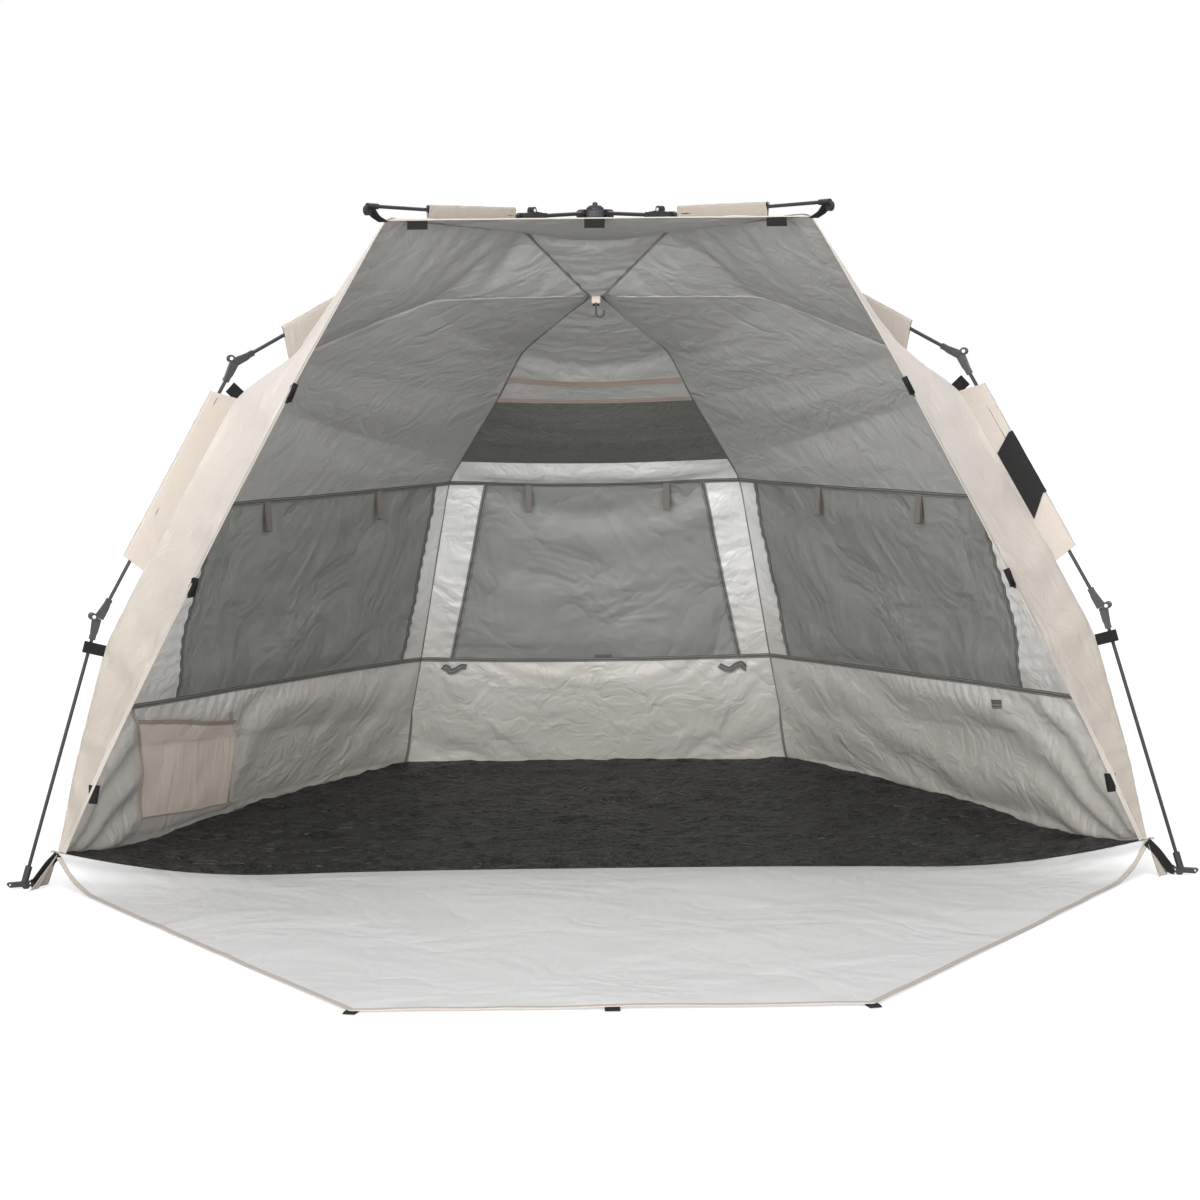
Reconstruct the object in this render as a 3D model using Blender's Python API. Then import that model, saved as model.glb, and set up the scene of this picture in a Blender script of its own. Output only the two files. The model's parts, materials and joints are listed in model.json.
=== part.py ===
"""Quick-up beach tent with a six-armed hub, four folding legs and two awning poles.

Metres, +Z up. The origin is on the ground under the hub, and the open front faces -Y.
Every leg lies in its own upright plane, in which a point is (reach from the hub's axis, height).
"""

import math

import bmesh
import bpy
from mathutils import Matrix, Vector

# Pole lengths, from pin to pin
HUB_PIVOT_RADIUS = 0.034
ARM_LENGTH = 0.231
UPPER_ROD_LENGTH = 0.676
MID_ROD_LENGTH = 0.640
LOWER_ROD_LENGTH = 0.593
AWNING_ROD_LENGTH = 0.605
FOOT_AXIS_HEIGHT = 0.020

# Slopes below the horizontal of arm, upper, middle and lower rod, in degrees
FRONT_SLOPES = (0.0, 28.1, 60.2, 74.1)
REAR_SLOPES = (12.9, 34.9, 58.9, 62.4)
AWNING_SLOPES = (0.0, 0.6)

# Directions of the right-hand poles around the hub, in degrees from +X
FRONT_AZIMUTH = -20.5
REAR_AZIMUTH = 64.9
AWNING_AZIMUTH = -57.6

# Rods and knuckles
ROD_RADIUS = 0.004
ROD_SIDES = 10
PIN_OFFSET = 0.013
PIN_RADIUS = 0.0022
KNUCKLE_LENGTH = 0.050
KNUCKLE_HALF_HEIGHT = 0.0078
KNUCKLE_HALF_WIDTH = 0.0075
COLLAR_HALF_HEIGHT = 0.0062
COLLAR_START_SHARE = 0.76
CHEEK_END_SHARE = 0.62
EAR_RADIUS = 0.0082
EAR_SIDES = 16
TONGUE_HALF_WIDTH = 0.003
SOCKET_DEPTH = 0.026
LAP_OFFSET = 0.017
SEAT_GAP = 0.0003
FACE_GAP = 0.0008
OVERRUN = 0.002
MERGE_DISTANCE = 0.000002

# Hub
HUB_RADIUS = 0.043
HUB_CORE_RADIUS = 0.024
HUB_BELOW_PIVOT = 0.013
HUB_ABOVE_PIVOT = 0.009
HUB_EDGE_ROUND = 0.004
HUB_SIDES = 36
HUB_PIN_RADIUS = 0.002
HUB_PIN_REACH = 0.0065
CAP_RADIUS = 0.020
CAP_HEIGHT = 0.011
STUD_RADIUS = 0.006
STUD_HEIGHT = 0.006
ARM_EYE_RADIUS = 0.006
ARM_BLADE_LENGTH = 0.030
ARM_BLADE_HALF_HEIGHT = 0.0038
BAR_START_SHARE = 0.75
DOME_SHARES = (0.72, 0.78)
ARM_ROD_RADIUS = 0.0045

# Feet and awning tips
FOOT_BAR_OUT = 0.040
FOOT_BAR_IN = 0.017
FOOT_BAR_TOP = 0.016
FOOT_BAR_BOTTOM = 0.005
FOOT_HALF_WIDTH = 0.006
FOOT_NUB_REACH = 0.009
FOOT_HOLE_RADIUS = 0.003
FOOT_HOLE_INSET = 0.0065
FOOT_COLLAR_RADIUS = 0.0078
FOOT_COLLAR_LENGTH = 0.030
COLLAR_FOOT_SHARE = 0.9
TIP_COLLAR_RADIUS = 0.0062
TIP_COLLAR_LENGTH = 0.028
TIP_EYE_RADIUS = 0.0105
TIP_EYE_HOLE_RADIUS = 0.006
TIP_EYE_HALF_WIDTH = 0.004
TIP_EYE_DROP = 0.009

# Sleeves sewn to the canopy, which the rods run through
SLEEVE_WEB_HALF_WIDTH = 0.0008
SLEEVE_OVER_ROD = 0.0025
SLEEVE_GAP = 0.0005
SLEEVE_CLEAR = 0.0011
UPPER_SLEEVE_SHARES = (0.317, 0.80)
UPPER_SLEEVE_ROWS = (1, 2)
MID_SLEEVE_SHARES = (0.13, 0.77)
MID_SLEEVE_ROWS = (3, 5)
REAR_SLEEVE_SHARES = (0.34, 0.78)
REAR_SLEEVE_ROWS = (4, 5)
AWNING_SLEEVE_SHARES = (0.12, 0.66)
AWNING_SEAM_SHARES = (0.08, 0.715)

# Fabric
FABRIC = 0.002
SEAM_GAP = 0.0004
APEX_DROP = 0.187
APEX_RADIUS = 0.030
STRAP_HALF_WIDTH = 0.011
STRAP_HALF_THICKNESS = 0.0012
CORNER_RAISE_SHARE = 0.35
WALL_BULGE = 0.090
HEM_CORNER_INSET = 0.014
HEM_CORNER_FORWARD = 0.006
FLOOR_MARGIN = 0.003
FLOOR_FRONT_MARGIN = 0.008
COVER_GAP = 0.0005
COVER_THICKNESS = 0.0015

# Porch
PORCH_LENGTH = 1.114
PORCH_CORNER_INSET = 0.045
PORCH_FRONT_HALF_WIDTH = 0.462

# Hook under the apex
HOOK_LOOP_LENGTH = 0.024
HOOK_LOOP_HALF_WIDTH = 0.008
HOOK_WIRE_RADIUS = 0.0025
HOOK_SHANK = 0.010
HOOK_BEND_RADIUS = 0.009
HOOK_EYE_RADIUS = 0.0055
HOOK_LIP = 0.008

# Front seam under the awning pole: (share along the awning rod, inset from the pin line)
FRONT_KNEE_INSET = 0.045
FRONT_KNEE_SHARE = 0.050
FRONT_CORNER_INSET = 0.030
FRONT_CORNER_SHARE = 0.905

# Side seam under the front leg: insets from the pin line, by the section that carries them
SIDE_KNEE_INSET = 0.106
SIDE_SHOULDER_INSET = 0.066
SLEEVE_INSET = 0.050
SIDE_LOWER_INSET = 0.041
SIDE_CORNER_INSET = 0.0515

# Stations along the side seam: (section of the pole, share along it, inset)
SIDE_STATION_SHARES = (
    (1, 0.317, SIDE_KNEE_INSET),
    (1, 0.832, SIDE_SHOULDER_INSET),
    (2, 0.108, SLEEVE_INSET),
    (2, 0.545, SLEEVE_INSET),
    (2, 0.784, SLEEVE_INSET),
    (3, 0.092, SIDE_LOWER_INSET),
    (3, 0.360, SIDE_LOWER_INSET),
    (3, 0.522, SIDE_LOWER_INSET),
    (3, 0.874, SIDE_CORNER_INSET),
)

# Stations along the rear seam: (share of the rear foot's reach, share of the hub's height)
REAR_STATION_SHARES = (
    (0.304, 0.781),
    (0.414, 0.698),
    (0.588, 0.586),
    (0.646, 0.549),
    (0.705, 0.4235),
    (0.755, 0.314),
    (0.802, 0.2124),
    (0.857, 0.106),
    (0.911, 0.0),
)

# Where the hem's stations lie between the canopy's front corner and the floor's corner
HEM_SHARES = (0.0, 0.22, 0.40, 0.52, 0.64, 0.755, 0.85, 1.0)

# Columns of each wall, from its first seam to its second, at the window's top and bottom
SIDE_COLUMNS_TOP_SHARES = (0.0, 0.136, 0.33, 0.53, 0.73, 0.93, 1.0)
SIDE_COLUMNS_BOTTOM_SHARES = (0.0, 0.197, 0.37, 0.55, 0.73, 0.912, 1.0)
REAR_COLUMNS_TOP_SHARES = (0.0, 0.128, 0.376, 0.624, 0.872, 1.0)
REAR_COLUMNS_BOTTOM_SHARES = (0.0, 0.088, 0.363, 0.637, 0.912, 1.0)
WING_COLUMNS_SHARES = (0.0, 0.5, 1.0)
AWNING_COLUMNS_SHARES = (0.0, 0.25, 0.5, 0.75, 1.0)
FLOOR_COLUMNS_SHARES = (0.0, 0.06, 0.14, 0.3, 0.5, 0.7, 0.86, 0.94, 1.0)
FLOOR_FLAT_SHARE = 0.6
SIDE_BULGE_SHARES = (0.0, 0.0, 0.05, 0.1, 0.25, 0.35, 0.45, 0.6, 0.8, 1.0)
WINDOW_ROWS = (4, 7)
VENT_ROWS = (2, 3)

COLOURS = {
    "black_plastic": ((0.020, 0.021, 0.024), 0.45, 0.0),
    "black_rod": ((0.028, 0.030, 0.034), 0.35, 0.0),
    "beige_fabric": ((0.70, 0.63, 0.57), 0.85, 0.0),
    "grey_lining": ((0.42, 0.41, 0.40), 0.60, 0.0),
    "floor_fabric": ((0.020, 0.020, 0.019), 0.55, 0.0),
    "porch_fabric": ((0.62, 0.62, 0.62), 0.70, 0.0),
    "window_mesh": ((0.15, 0.15, 0.14), 0.80, 0.0),
    "black_webbing": ((0.018, 0.018, 0.020), 0.90, 0.0),
}


def clear_scene():
    for obj in list(bpy.data.objects):
        bpy.data.objects.remove(obj, do_unlink=True)


def material(name):
    """The Principled material of one finish."""
    if name in bpy.data.materials:
        return bpy.data.materials[name]
    colour, roughness, metallic = COLOURS[name]
    made = bpy.data.materials.new(name)
    made.use_nodes = True
    shader = made.node_tree.nodes["Principled BSDF"]
    shader.inputs["Base Color"].default_value = (*colour, 1.0)
    shader.inputs["Roughness"].default_value = roughness
    shader.inputs["Metallic"].default_value = metallic
    return made


class Pole:
    """One pole's pins in its own upright plane, from the hub's pivot outwards."""

    def __init__(self, name, azimuth, side, lengths, slopes, hub_height):
        self.name = name
        turned = azimuth if side > 0 else 180.0 - azimuth
        self.azimuth = math.radians(turned)
        self.side = side
        self.pins = [Vector((HUB_PIVOT_RADIUS, hub_height))]
        for length, slope in zip(lengths, slopes):
            step = Vector((math.cos(math.radians(slope)), -math.sin(math.radians(slope))))
            self.pins.append(self.pins[-1] + length * step)
        self.slopes = slopes

    def along(self, section):
        """Unit direction of one section, outwards."""
        return (self.pins[section + 1] - self.pins[section]).normalized()

    def inward(self, section):
        """Unit normal of one section, towards the inside of the tent."""
        step = self.along(section)
        return Vector((step.y, -step.x))

    def point(self, section, share, inset):
        start, end = self.pins[section], self.pins[section + 1]
        return start.lerp(end, share) + inset * self.inward(section)

    def axis_line(self, section, offset_start, offset_end):
        """The rod's own axis: it runs inside the pin line by an offset at either end."""
        start, end = self.pins[section], self.pins[section + 1]
        length = (end - start).length
        turn = math.asin((offset_end - offset_start) / length)
        step = self.along(section)
        axis = math.cos(turn) * step + math.sin(turn) * self.inward(section)
        normal = Vector((axis.y, -axis.x))
        return start + offset_start * normal, end + offset_end * normal, axis

    def world(self, point, across=0):
        turn = Matrix.Rotation(self.azimuth, 3, "Z")
        return turn @ Vector((point.x, across, point.y))


def hub_pivot_height():
    lengths = (ARM_LENGTH, UPPER_ROD_LENGTH, MID_ROD_LENGTH, LOWER_ROD_LENGTH)
    rises = [n * math.sin(math.radians(s)) for n, s in zip(lengths, FRONT_SLOPES)]
    return FOOT_AXIS_HEIGHT + sum(rises)


def rear_lower_length(hub_height):
    """The rear leg's lowest rod reaches from its knuckle to the ground."""
    lengths = (ARM_LENGTH, UPPER_ROD_LENGTH, MID_ROD_LENGTH)
    rises = [n * math.sin(math.radians(s)) for n, s in zip(lengths, REAR_SLOPES)]
    left = hub_height - FOOT_AXIS_HEIGHT - sum(rises)
    return left / math.sin(math.radians(REAR_SLOPES[3]))


def make_poles():
    height = hub_pivot_height()
    front = (ARM_LENGTH, UPPER_ROD_LENGTH, MID_ROD_LENGTH, LOWER_ROD_LENGTH)
    rear = (ARM_LENGTH, UPPER_ROD_LENGTH, MID_ROD_LENGTH, rear_lower_length(height))
    awning = (ARM_LENGTH, AWNING_ROD_LENGTH)
    poles = {}
    for side, hand in ((1, "right"), (-1, "left")):
        poles["front_" + hand] = Pole("front_" + hand, FRONT_AZIMUTH, side, front, FRONT_SLOPES, height)
        poles["rear_" + hand] = Pole("rear_" + hand, REAR_AZIMUTH, side, rear, REAR_SLOPES, height)
        poles["awning_" + hand] = Pole("awning_" + hand, AWNING_AZIMUTH, side, awning, AWNING_SLOPES, height)
    return poles


# Shapes in a pole's plane

def object_from(bm, name):
    bmesh.ops.recalc_face_normals(bm, faces=bm.faces)
    mesh = bpy.data.meshes.new(name)
    bm.to_mesh(mesh)
    bm.free()
    obj = bpy.data.objects.new(name, mesh)
    bpy.context.scene.collection.objects.link(obj)
    return obj


def prism(outline, low, high, name="prism"):
    """An outline of (reach, height) points, extruded across the pole's plane."""
    bm = bmesh.new()
    face = bm.faces.new([bm.verts.new((p.x, low, p.y)) for p in outline])
    grown = bmesh.ops.extrude_face_region(bm, geom=[face])
    moved = [v for v in grown["geom"] if isinstance(v, bmesh.types.BMVert)]
    bmesh.ops.translate(bm, verts=moved, vec=(0, high - low, 0))
    return object_from(bm, name)


def disc(centre, radius, low, high, sides=EAR_SIDES):
    turns = [2 * math.pi * k / sides for k in range(sides)]
    outline = [centre + radius * Vector((math.cos(t), math.sin(t))) for t in turns]
    return prism(outline, low, high, "disc")


def rod(start, end, radius, across=0, sides=ROD_SIDES):
    """A round bar between two points of the pole's plane."""
    bm = bmesh.new()
    step = end - start
    turn = Vector((step.x, 0, step.y)).to_track_quat("Z", "Y").to_matrix().to_4x4()
    middle = (start + end) / 2
    place = Matrix.Translation((middle.x, across, middle.y)) @ turn
    bmesh.ops.create_cone(
        bm, cap_ends=True, segments=sides, radius1=radius, radius2=radius,
        depth=step.length, matrix=place,
    )
    return object_from(bm, "rod")


def lathe(profile, sides, name):
    """A turned solid from (radius, height) points, the first and last on the axis."""
    bm = bmesh.new()
    rings = []
    for radius, height in profile:
        if radius == 0:
            rings.append([bm.verts.new((0, 0, height))])
            continue
        turns = [2 * math.pi * k / sides for k in range(sides)]
        rings.append([bm.verts.new((radius * math.cos(t), radius * math.sin(t), height)) for t in turns])
    for low, high in zip(rings, rings[1:]):
        for k in range(sides):
            corners = [low[k % len(low)], low[(k + 1) % len(low)]]
            corners += [high[(k + 1) % len(high)], high[k % len(high)]]
            bm.faces.new(list(dict.fromkeys(corners)))
    return object_from(bm, name)


def combine(target, tool, operation):
    """Union or difference with a tool, which is used up."""
    change = target.modifiers.new("combine", "BOOLEAN")
    change.operation = operation
    change.solver = "EXACT"
    change.object = tool
    bpy.context.view_layer.update()
    evaluated = target.evaluated_get(bpy.context.evaluated_depsgraph_get())
    result = bpy.data.meshes.new_from_object(evaluated)
    target.modifiers.clear()
    bm = bmesh.new()
    bm.from_mesh(result)
    bmesh.ops.remove_doubles(bm, verts=bm.verts, dist=MERGE_DISTANCE)
    bmesh.ops.dissolve_degenerate(bm, edges=bm.edges, dist=MERGE_DISTANCE)
    bm.to_mesh(result)
    bm.free()
    target.data = result
    bpy.data.objects.remove(tool, do_unlink=True)


def add(target, tool):
    combine(target, tool, "UNION")


def cut(target, tool):
    combine(target, tool, "DIFFERENCE")


def finish(obj, name, finish_name, pole=None, pin=None, across=0):
    """Name a piece, and move its origin to the joint's axis that carries it."""
    obj.name = name
    obj.data.name = name
    obj.data.materials.clear()
    obj.data.materials.append(material(finish_name))
    if pole is not None:
        local = Vector((pin.x, across, pin.y))
        obj.data.transform(Matrix.Translation(-local))
        obj.location = pole.world(pin, across)
        obj.rotation_euler = (0, 0, pole.azimuth)
    obj.data.shade_smooth()
    obj.data.set_sharp_from_angle(angle=math.radians(30))
    return obj


# Knuckles

def knuckle_outline(pin, away, outer, bend):
    """One half of a knuckle, from its butting face to the collar round the rod."""
    slant = math.tan(math.radians(bend) / 2)
    axis = -PIN_OFFSET
    cheek_low = axis - KNUCKLE_HALF_HEIGHT
    cheek_high = axis + KNUCKLE_HALF_HEIGHT
    collar_low = axis - COLLAR_HALF_HEIGHT
    collar_high = axis + COLLAR_HALF_HEIGHT
    places = [
        (FACE_GAP / 2 - cheek_low * slant, cheek_low),
        (CHEEK_END_SHARE * KNUCKLE_LENGTH, cheek_low),
        (COLLAR_START_SHARE * KNUCKLE_LENGTH, collar_low),
        (KNUCKLE_LENGTH, collar_low),
        (KNUCKLE_LENGTH, collar_high),
        (COLLAR_START_SHARE * KNUCKLE_LENGTH, collar_high),
        (EAR_RADIUS + FACE_GAP, cheek_high / 2),
        (FACE_GAP / 2 - cheek_high * slant, cheek_high),
    ]
    return [pin + along * away + up * outer for along, up in places]


def clevis(pin, away, outer, bend):
    """The half of a knuckle that holds the pin between two ears."""
    half = KNUCKLE_HALF_WIDTH
    body = prism(knuckle_outline(pin, away, outer, bend), -half, half)
    add(body, disc(pin, EAR_RADIUS, -half, half))
    slot = TONGUE_HALF_WIDTH + SEAT_GAP
    cut(body, disc(pin, EAR_RADIUS + FACE_GAP, -slot, slot))
    add(body, disc(pin, PIN_RADIUS, -half + SEAT_GAP, half - SEAT_GAP, ROD_SIDES))
    return body


def tongue(pin, away, outer, bend):
    """The half of a knuckle that turns on the pin."""
    half = KNUCKLE_HALF_WIDTH
    body = prism(knuckle_outline(pin, away, outer, bend), -half, half)
    add(body, disc(pin, EAR_RADIUS, -half, half))
    for low, high in ((TONGUE_HALF_WIDTH, half + OVERRUN), (-half - OVERRUN, -TONGUE_HALF_WIDTH)):
        cut(body, disc(pin, EAR_RADIUS + FACE_GAP, low, high))
    cut(body, disc(pin, PIN_RADIUS + SEAT_GAP, -half, half, ROD_SIDES))
    return body


def lap_half(pin, away, outer, bend, across):
    """One half of the lowest knuckle, whose halves lie side by side."""
    low, high = across - KNUCKLE_HALF_WIDTH, across + KNUCKLE_HALF_WIDTH
    body = prism(knuckle_outline(pin, away, outer, bend), low, high)
    add(body, disc(pin, EAR_RADIUS, low, high))
    return body


def socket(body, mouth, axis, across=0):
    """A blind bore that takes a rod's end; the axis points out of its mouth."""
    start = mouth - SOCKET_DEPTH * axis
    end = mouth + OVERRUN * axis
    cut(body, rod(start, end, ROD_RADIUS + SEAT_GAP, across))


def rod_end(mouth, axis):
    """Where a rod stops inside a socket."""
    return mouth - (SOCKET_DEPTH - SEAT_GAP) * axis


def make_arm(pole):
    """An arm of the hub: an eye on the hub's pin, a blade, a bar and the first clevis."""
    pivot, pin = pole.pins[0], pole.pins[1]
    start, end, axis = pole.axis_line(0, 0, PIN_OFFSET)
    bend = pole.slopes[1] - pole.slopes[0]
    outer = -Vector((axis.y, -axis.x))
    body = clevis(pin, -axis, outer, bend)
    mouth = end - KNUCKLE_LENGTH * axis
    add(body, rod(start + BAR_START_SHARE * ARM_BLADE_LENGTH * axis, mouth + OVERRUN * axis, ARM_ROD_RADIUS))
    half = TONGUE_HALF_WIDTH
    side = ARM_BLADE_HALF_HEIGHT * outer
    blade_end = start + ARM_BLADE_LENGTH * axis
    blade = prism([start - side, blade_end - side, blade_end + side, start + side], -half, half)
    add(blade, disc(pivot, ARM_EYE_RADIUS, -half, half))
    add(body, blade)
    cut(body, disc(pivot, HUB_PIN_RADIUS + SEAT_GAP, -half - OVERRUN, half + OVERRUN, ROD_SIDES))
    return finish(body, "arm_" + pole.name, "black_plastic", pole, pivot)


def make_upper_rod(pole):
    """The first rod, with the tongue of the knuckle at the arm's end."""
    pin = pole.pins[1]
    last = len(pole.pins) == 3
    start, end, axis = pole.axis_line(1, PIN_OFFSET, 0 if last else PIN_OFFSET)
    bend = pole.slopes[1] - pole.slopes[0]
    outer = -Vector((axis.y, -axis.x))
    body = tongue(pin, axis, outer, bend)
    mouth = end if last else end - KNUCKLE_LENGTH * axis
    stop = mouth - SEAT_GAP * axis if last else rod_end(mouth, -axis)
    add(body, rod(start + COLLAR_START_SHARE * KNUCKLE_LENGTH * axis, stop, ROD_RADIUS))
    kind = "awning_rod_" + pole.name[7:] if last else "upper_rod_" + pole.name
    return finish(body, kind, "black_rod", pole, pin)


def make_upper_knuckle(pole):
    """The clevis on the upper rod's end, which holds the second pin."""
    pin = pole.pins[2]
    _, end, axis = pole.axis_line(1, PIN_OFFSET, PIN_OFFSET)
    outer = -Vector((axis.y, -axis.x))
    body = clevis(pin, -axis, outer, pole.slopes[2] - pole.slopes[1])
    socket(body, end - KNUCKLE_LENGTH * axis, -axis)
    return finish(body, "upper_knuckle_" + pole.name, "black_plastic", pole, pole.pins[1])


def make_mid_rod(pole):
    pin = pole.pins[2]
    start, end, axis = pole.axis_line(2, PIN_OFFSET, PIN_OFFSET)
    outer = -Vector((axis.y, -axis.x))
    body = tongue(pin, axis, outer, pole.slopes[2] - pole.slopes[1])
    stop = rod_end(end - KNUCKLE_LENGTH * axis, -axis)
    add(body, rod(start + COLLAR_START_SHARE * KNUCKLE_LENGTH * axis, stop, ROD_RADIUS))
    return finish(body, "mid_rod_" + pole.name, "black_rod", pole, pin)


def make_lower_knuckle(pole):
    """The half of the lowest knuckle on the middle rod, with its pin."""
    pin = pole.pins[3]
    _, end, axis = pole.axis_line(2, PIN_OFFSET, PIN_OFFSET)
    outer = -Vector((axis.y, -axis.x))
    body = lap_half(pin, -axis, outer, pole.slopes[3] - pole.slopes[2], 0)
    reach = LAP_OFFSET + KNUCKLE_HALF_WIDTH - SEAT_GAP
    low, high = (-OVERRUN, reach) if pole.side > 0 else (-reach, OVERRUN)
    add(body, disc(pin, PIN_RADIUS, low, high, ROD_SIDES))
    socket(body, end - KNUCKLE_LENGTH * axis, -axis)
    return finish(body, "lower_knuckle_" + pole.name, "black_plastic", pole, pole.pins[2])


def make_lower_rod(pole):
    pin = pole.pins[3]
    across = pole.side * LAP_OFFSET
    start, end, axis = pole.axis_line(3, PIN_OFFSET, 0)
    outer = -Vector((axis.y, -axis.x))
    body = lap_half(pin, axis, outer, pole.slopes[3] - pole.slopes[2], across)
    through = KNUCKLE_HALF_WIDTH + OVERRUN
    cut(body, disc(pin, PIN_RADIUS + SEAT_GAP, across - through, across + through, ROD_SIDES))
    add(body, rod(start + COLLAR_START_SHARE * KNUCKLE_LENGTH * axis, end, ROD_RADIUS, across))
    return finish(body, "lower_rod_" + pole.name, "black_rod", pole, pin)


def make_foot(pole):
    """A foot: a collar on the rod's end over a bar with a hole at either end."""
    across = pole.side * LAP_OFFSET
    foot = pole.pins[4]
    _, end, axis = pole.axis_line(3, PIN_OFFSET, 0)
    low, high = across - FOOT_HALF_WIDTH, across + FOOT_HALF_WIDTH
    bottom, top = FOOT_BAR_BOTTOM, FOOT_BAR_TOP
    chamfer = FOOT_BAR_BOTTOM
    outline = [
        Vector((foot.x - FOOT_BAR_IN, bottom)),
        Vector((foot.x - FOOT_NUB_REACH, bottom)),
        Vector((foot.x - FOOT_NUB_REACH / 2, 0)),
        Vector((foot.x + FOOT_NUB_REACH / 2, 0)),
        Vector((foot.x + FOOT_NUB_REACH, bottom)),
        Vector((foot.x + FOOT_BAR_OUT - chamfer, bottom)),
        Vector((foot.x + FOOT_BAR_OUT, bottom + chamfer)),
        Vector((foot.x + FOOT_BAR_OUT, top - chamfer / 2)),
        Vector((foot.x + FOOT_BAR_OUT - chamfer, top)),
        Vector((foot.x - FOOT_BAR_IN, top)),
    ]
    body = prism(outline, low, high)
    collar_end = end - FOOT_COLLAR_LENGTH * axis
    closed_end = end + COLLAR_FOOT_SHARE * FOOT_COLLAR_RADIUS * axis
    add(body, rod(collar_end, closed_end, FOOT_COLLAR_RADIUS, across))
    cut(body, rod(collar_end - OVERRUN * axis, end + SEAT_GAP * axis, ROD_RADIUS + SEAT_GAP, across))
    height = (bottom + top) / 2
    for reach in (FOOT_BAR_OUT - FOOT_HOLE_INSET, FOOT_HOLE_INSET - FOOT_BAR_IN):
        hole = Vector((foot.x + reach, height))
        cut(body, disc(hole, FOOT_HOLE_RADIUS, low - OVERRUN, high + OVERRUN, ROD_SIDES))
    return finish(body, "foot_" + pole.name, "black_plastic", pole, pole.pins[3], across)


def make_awning_tip(pole):
    """A plastic end on the awning rod, with an eye for the canopy's webbing."""
    _, end, axis = pole.axis_line(1, PIN_OFFSET, 0)
    outer = -Vector((axis.y, -axis.x))
    body = rod(end - TIP_COLLAR_LENGTH * axis, end + TIP_COLLAR_RADIUS * axis, TIP_COLLAR_RADIUS)
    half = TIP_EYE_HALF_WIDTH
    eye = end + TIP_COLLAR_RADIUS * axis - TIP_EYE_DROP * outer
    add(body, disc(eye, TIP_EYE_RADIUS, -half, half))
    cut(body, disc(eye, TIP_EYE_HOLE_RADIUS, -half - OVERRUN, half + OVERRUN))
    cut(body, rod(end - (TIP_COLLAR_LENGTH + OVERRUN) * axis, end, ROD_RADIUS + SEAT_GAP))
    return finish(body, "awning_tip_" + pole.name[7:], "black_plastic", pole, pole.pins[1])


# Hub

def make_hub(poles):
    height = poles["front_right"].pins[0].y
    low, high = height - HUB_BELOW_PIVOT, height + HUB_ABOVE_PIVOT
    profile = [
        (0, low),
        (HUB_RADIUS - HUB_EDGE_ROUND, low),
        (HUB_RADIUS, low + HUB_EDGE_ROUND),
        (HUB_RADIUS, high - HUB_EDGE_ROUND),
        (HUB_RADIUS - HUB_EDGE_ROUND, high),
        (0, high),
    ]
    body = lathe(profile, HUB_SIDES, "hub")
    slot = TONGUE_HALF_WIDTH + SEAT_GAP
    for pole in poles.values():
        box = [
            Vector((HUB_CORE_RADIUS, low - OVERRUN)),
            Vector((HUB_RADIUS + OVERRUN, low - OVERRUN)),
            Vector((HUB_RADIUS + OVERRUN, high + OVERRUN)),
            Vector((HUB_CORE_RADIUS, high + OVERRUN)),
        ]
        tool = prism(box, -slot, slot)
        tool.data.transform(Matrix.Rotation(pole.azimuth, 4, "Z"))
        cut(body, tool)
        pin = disc(pole.pins[0], HUB_PIN_RADIUS, -HUB_PIN_REACH, HUB_PIN_REACH, ROD_SIDES)
        pin.data.transform(Matrix.Rotation(pole.azimuth, 4, "Z"))
        add(body, pin)
    finish(body, "hub_body", "black_plastic")
    cap_low = high + SEAT_GAP
    stud_low = cap_low + CAP_HEIGHT
    dome = [
        (0, cap_low),
        (CAP_RADIUS, cap_low),
        (CAP_RADIUS, cap_low + CAP_HEIGHT / 3),
        (DOME_SHARES[0] * CAP_RADIUS, cap_low + DOME_SHARES[1] * CAP_HEIGHT),
        (STUD_RADIUS, stud_low),
        (STUD_RADIUS, stud_low + STUD_HEIGHT / 2),
        (STUD_RADIUS / 2, stud_low + STUD_HEIGHT),
        (0, stud_low + STUD_HEIGHT),
    ]
    finish(lathe(dome, EAR_SIDES, "cap"), "hub_cap", "black_plastic")
    return low


# Canopy

def lerp_share(table_low, table_high, weight):
    return [a + weight * (b - a) for a, b in zip(table_low, table_high)]


def side_seam(pole):
    top = pole.world(Vector((APEX_RADIUS, pole.pins[0].y - APEX_DROP)))
    return [top] + [pole.world(pole.point(*station)) for station in SIDE_STATION_SHARES]


def rear_seam(pole):
    top = pole.world(Vector((APEX_RADIUS, pole.pins[0].y - APEX_DROP)))
    reach, height = pole.pins[4].x, pole.pins[0].y
    floor_top = FABRIC + SEAM_GAP
    points = [pole.world(Vector((a * reach, max(b * height, floor_top)))) for a, b in REAR_STATION_SHARES]
    return [top] + points


def front_seam(pole, corner):
    """Apex, knee and front corner under the awning pole, then the hem down to the floor's corner."""
    top = pole.world(Vector((APEX_RADIUS, pole.pins[0].y - APEX_DROP)))
    knee = pole.world(pole.point(1, FRONT_KNEE_SHARE, FRONT_KNEE_INSET))
    front = pole.world(pole.point(1, FRONT_CORNER_SHARE, FRONT_CORNER_INSET))
    end = Vector((corner.x - pole.side * HEM_CORNER_INSET, corner.y - HEM_CORNER_FORWARD, corner.z))
    return [top, knee] + [front.lerp(end, share) for share in HEM_SHARES]


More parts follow.
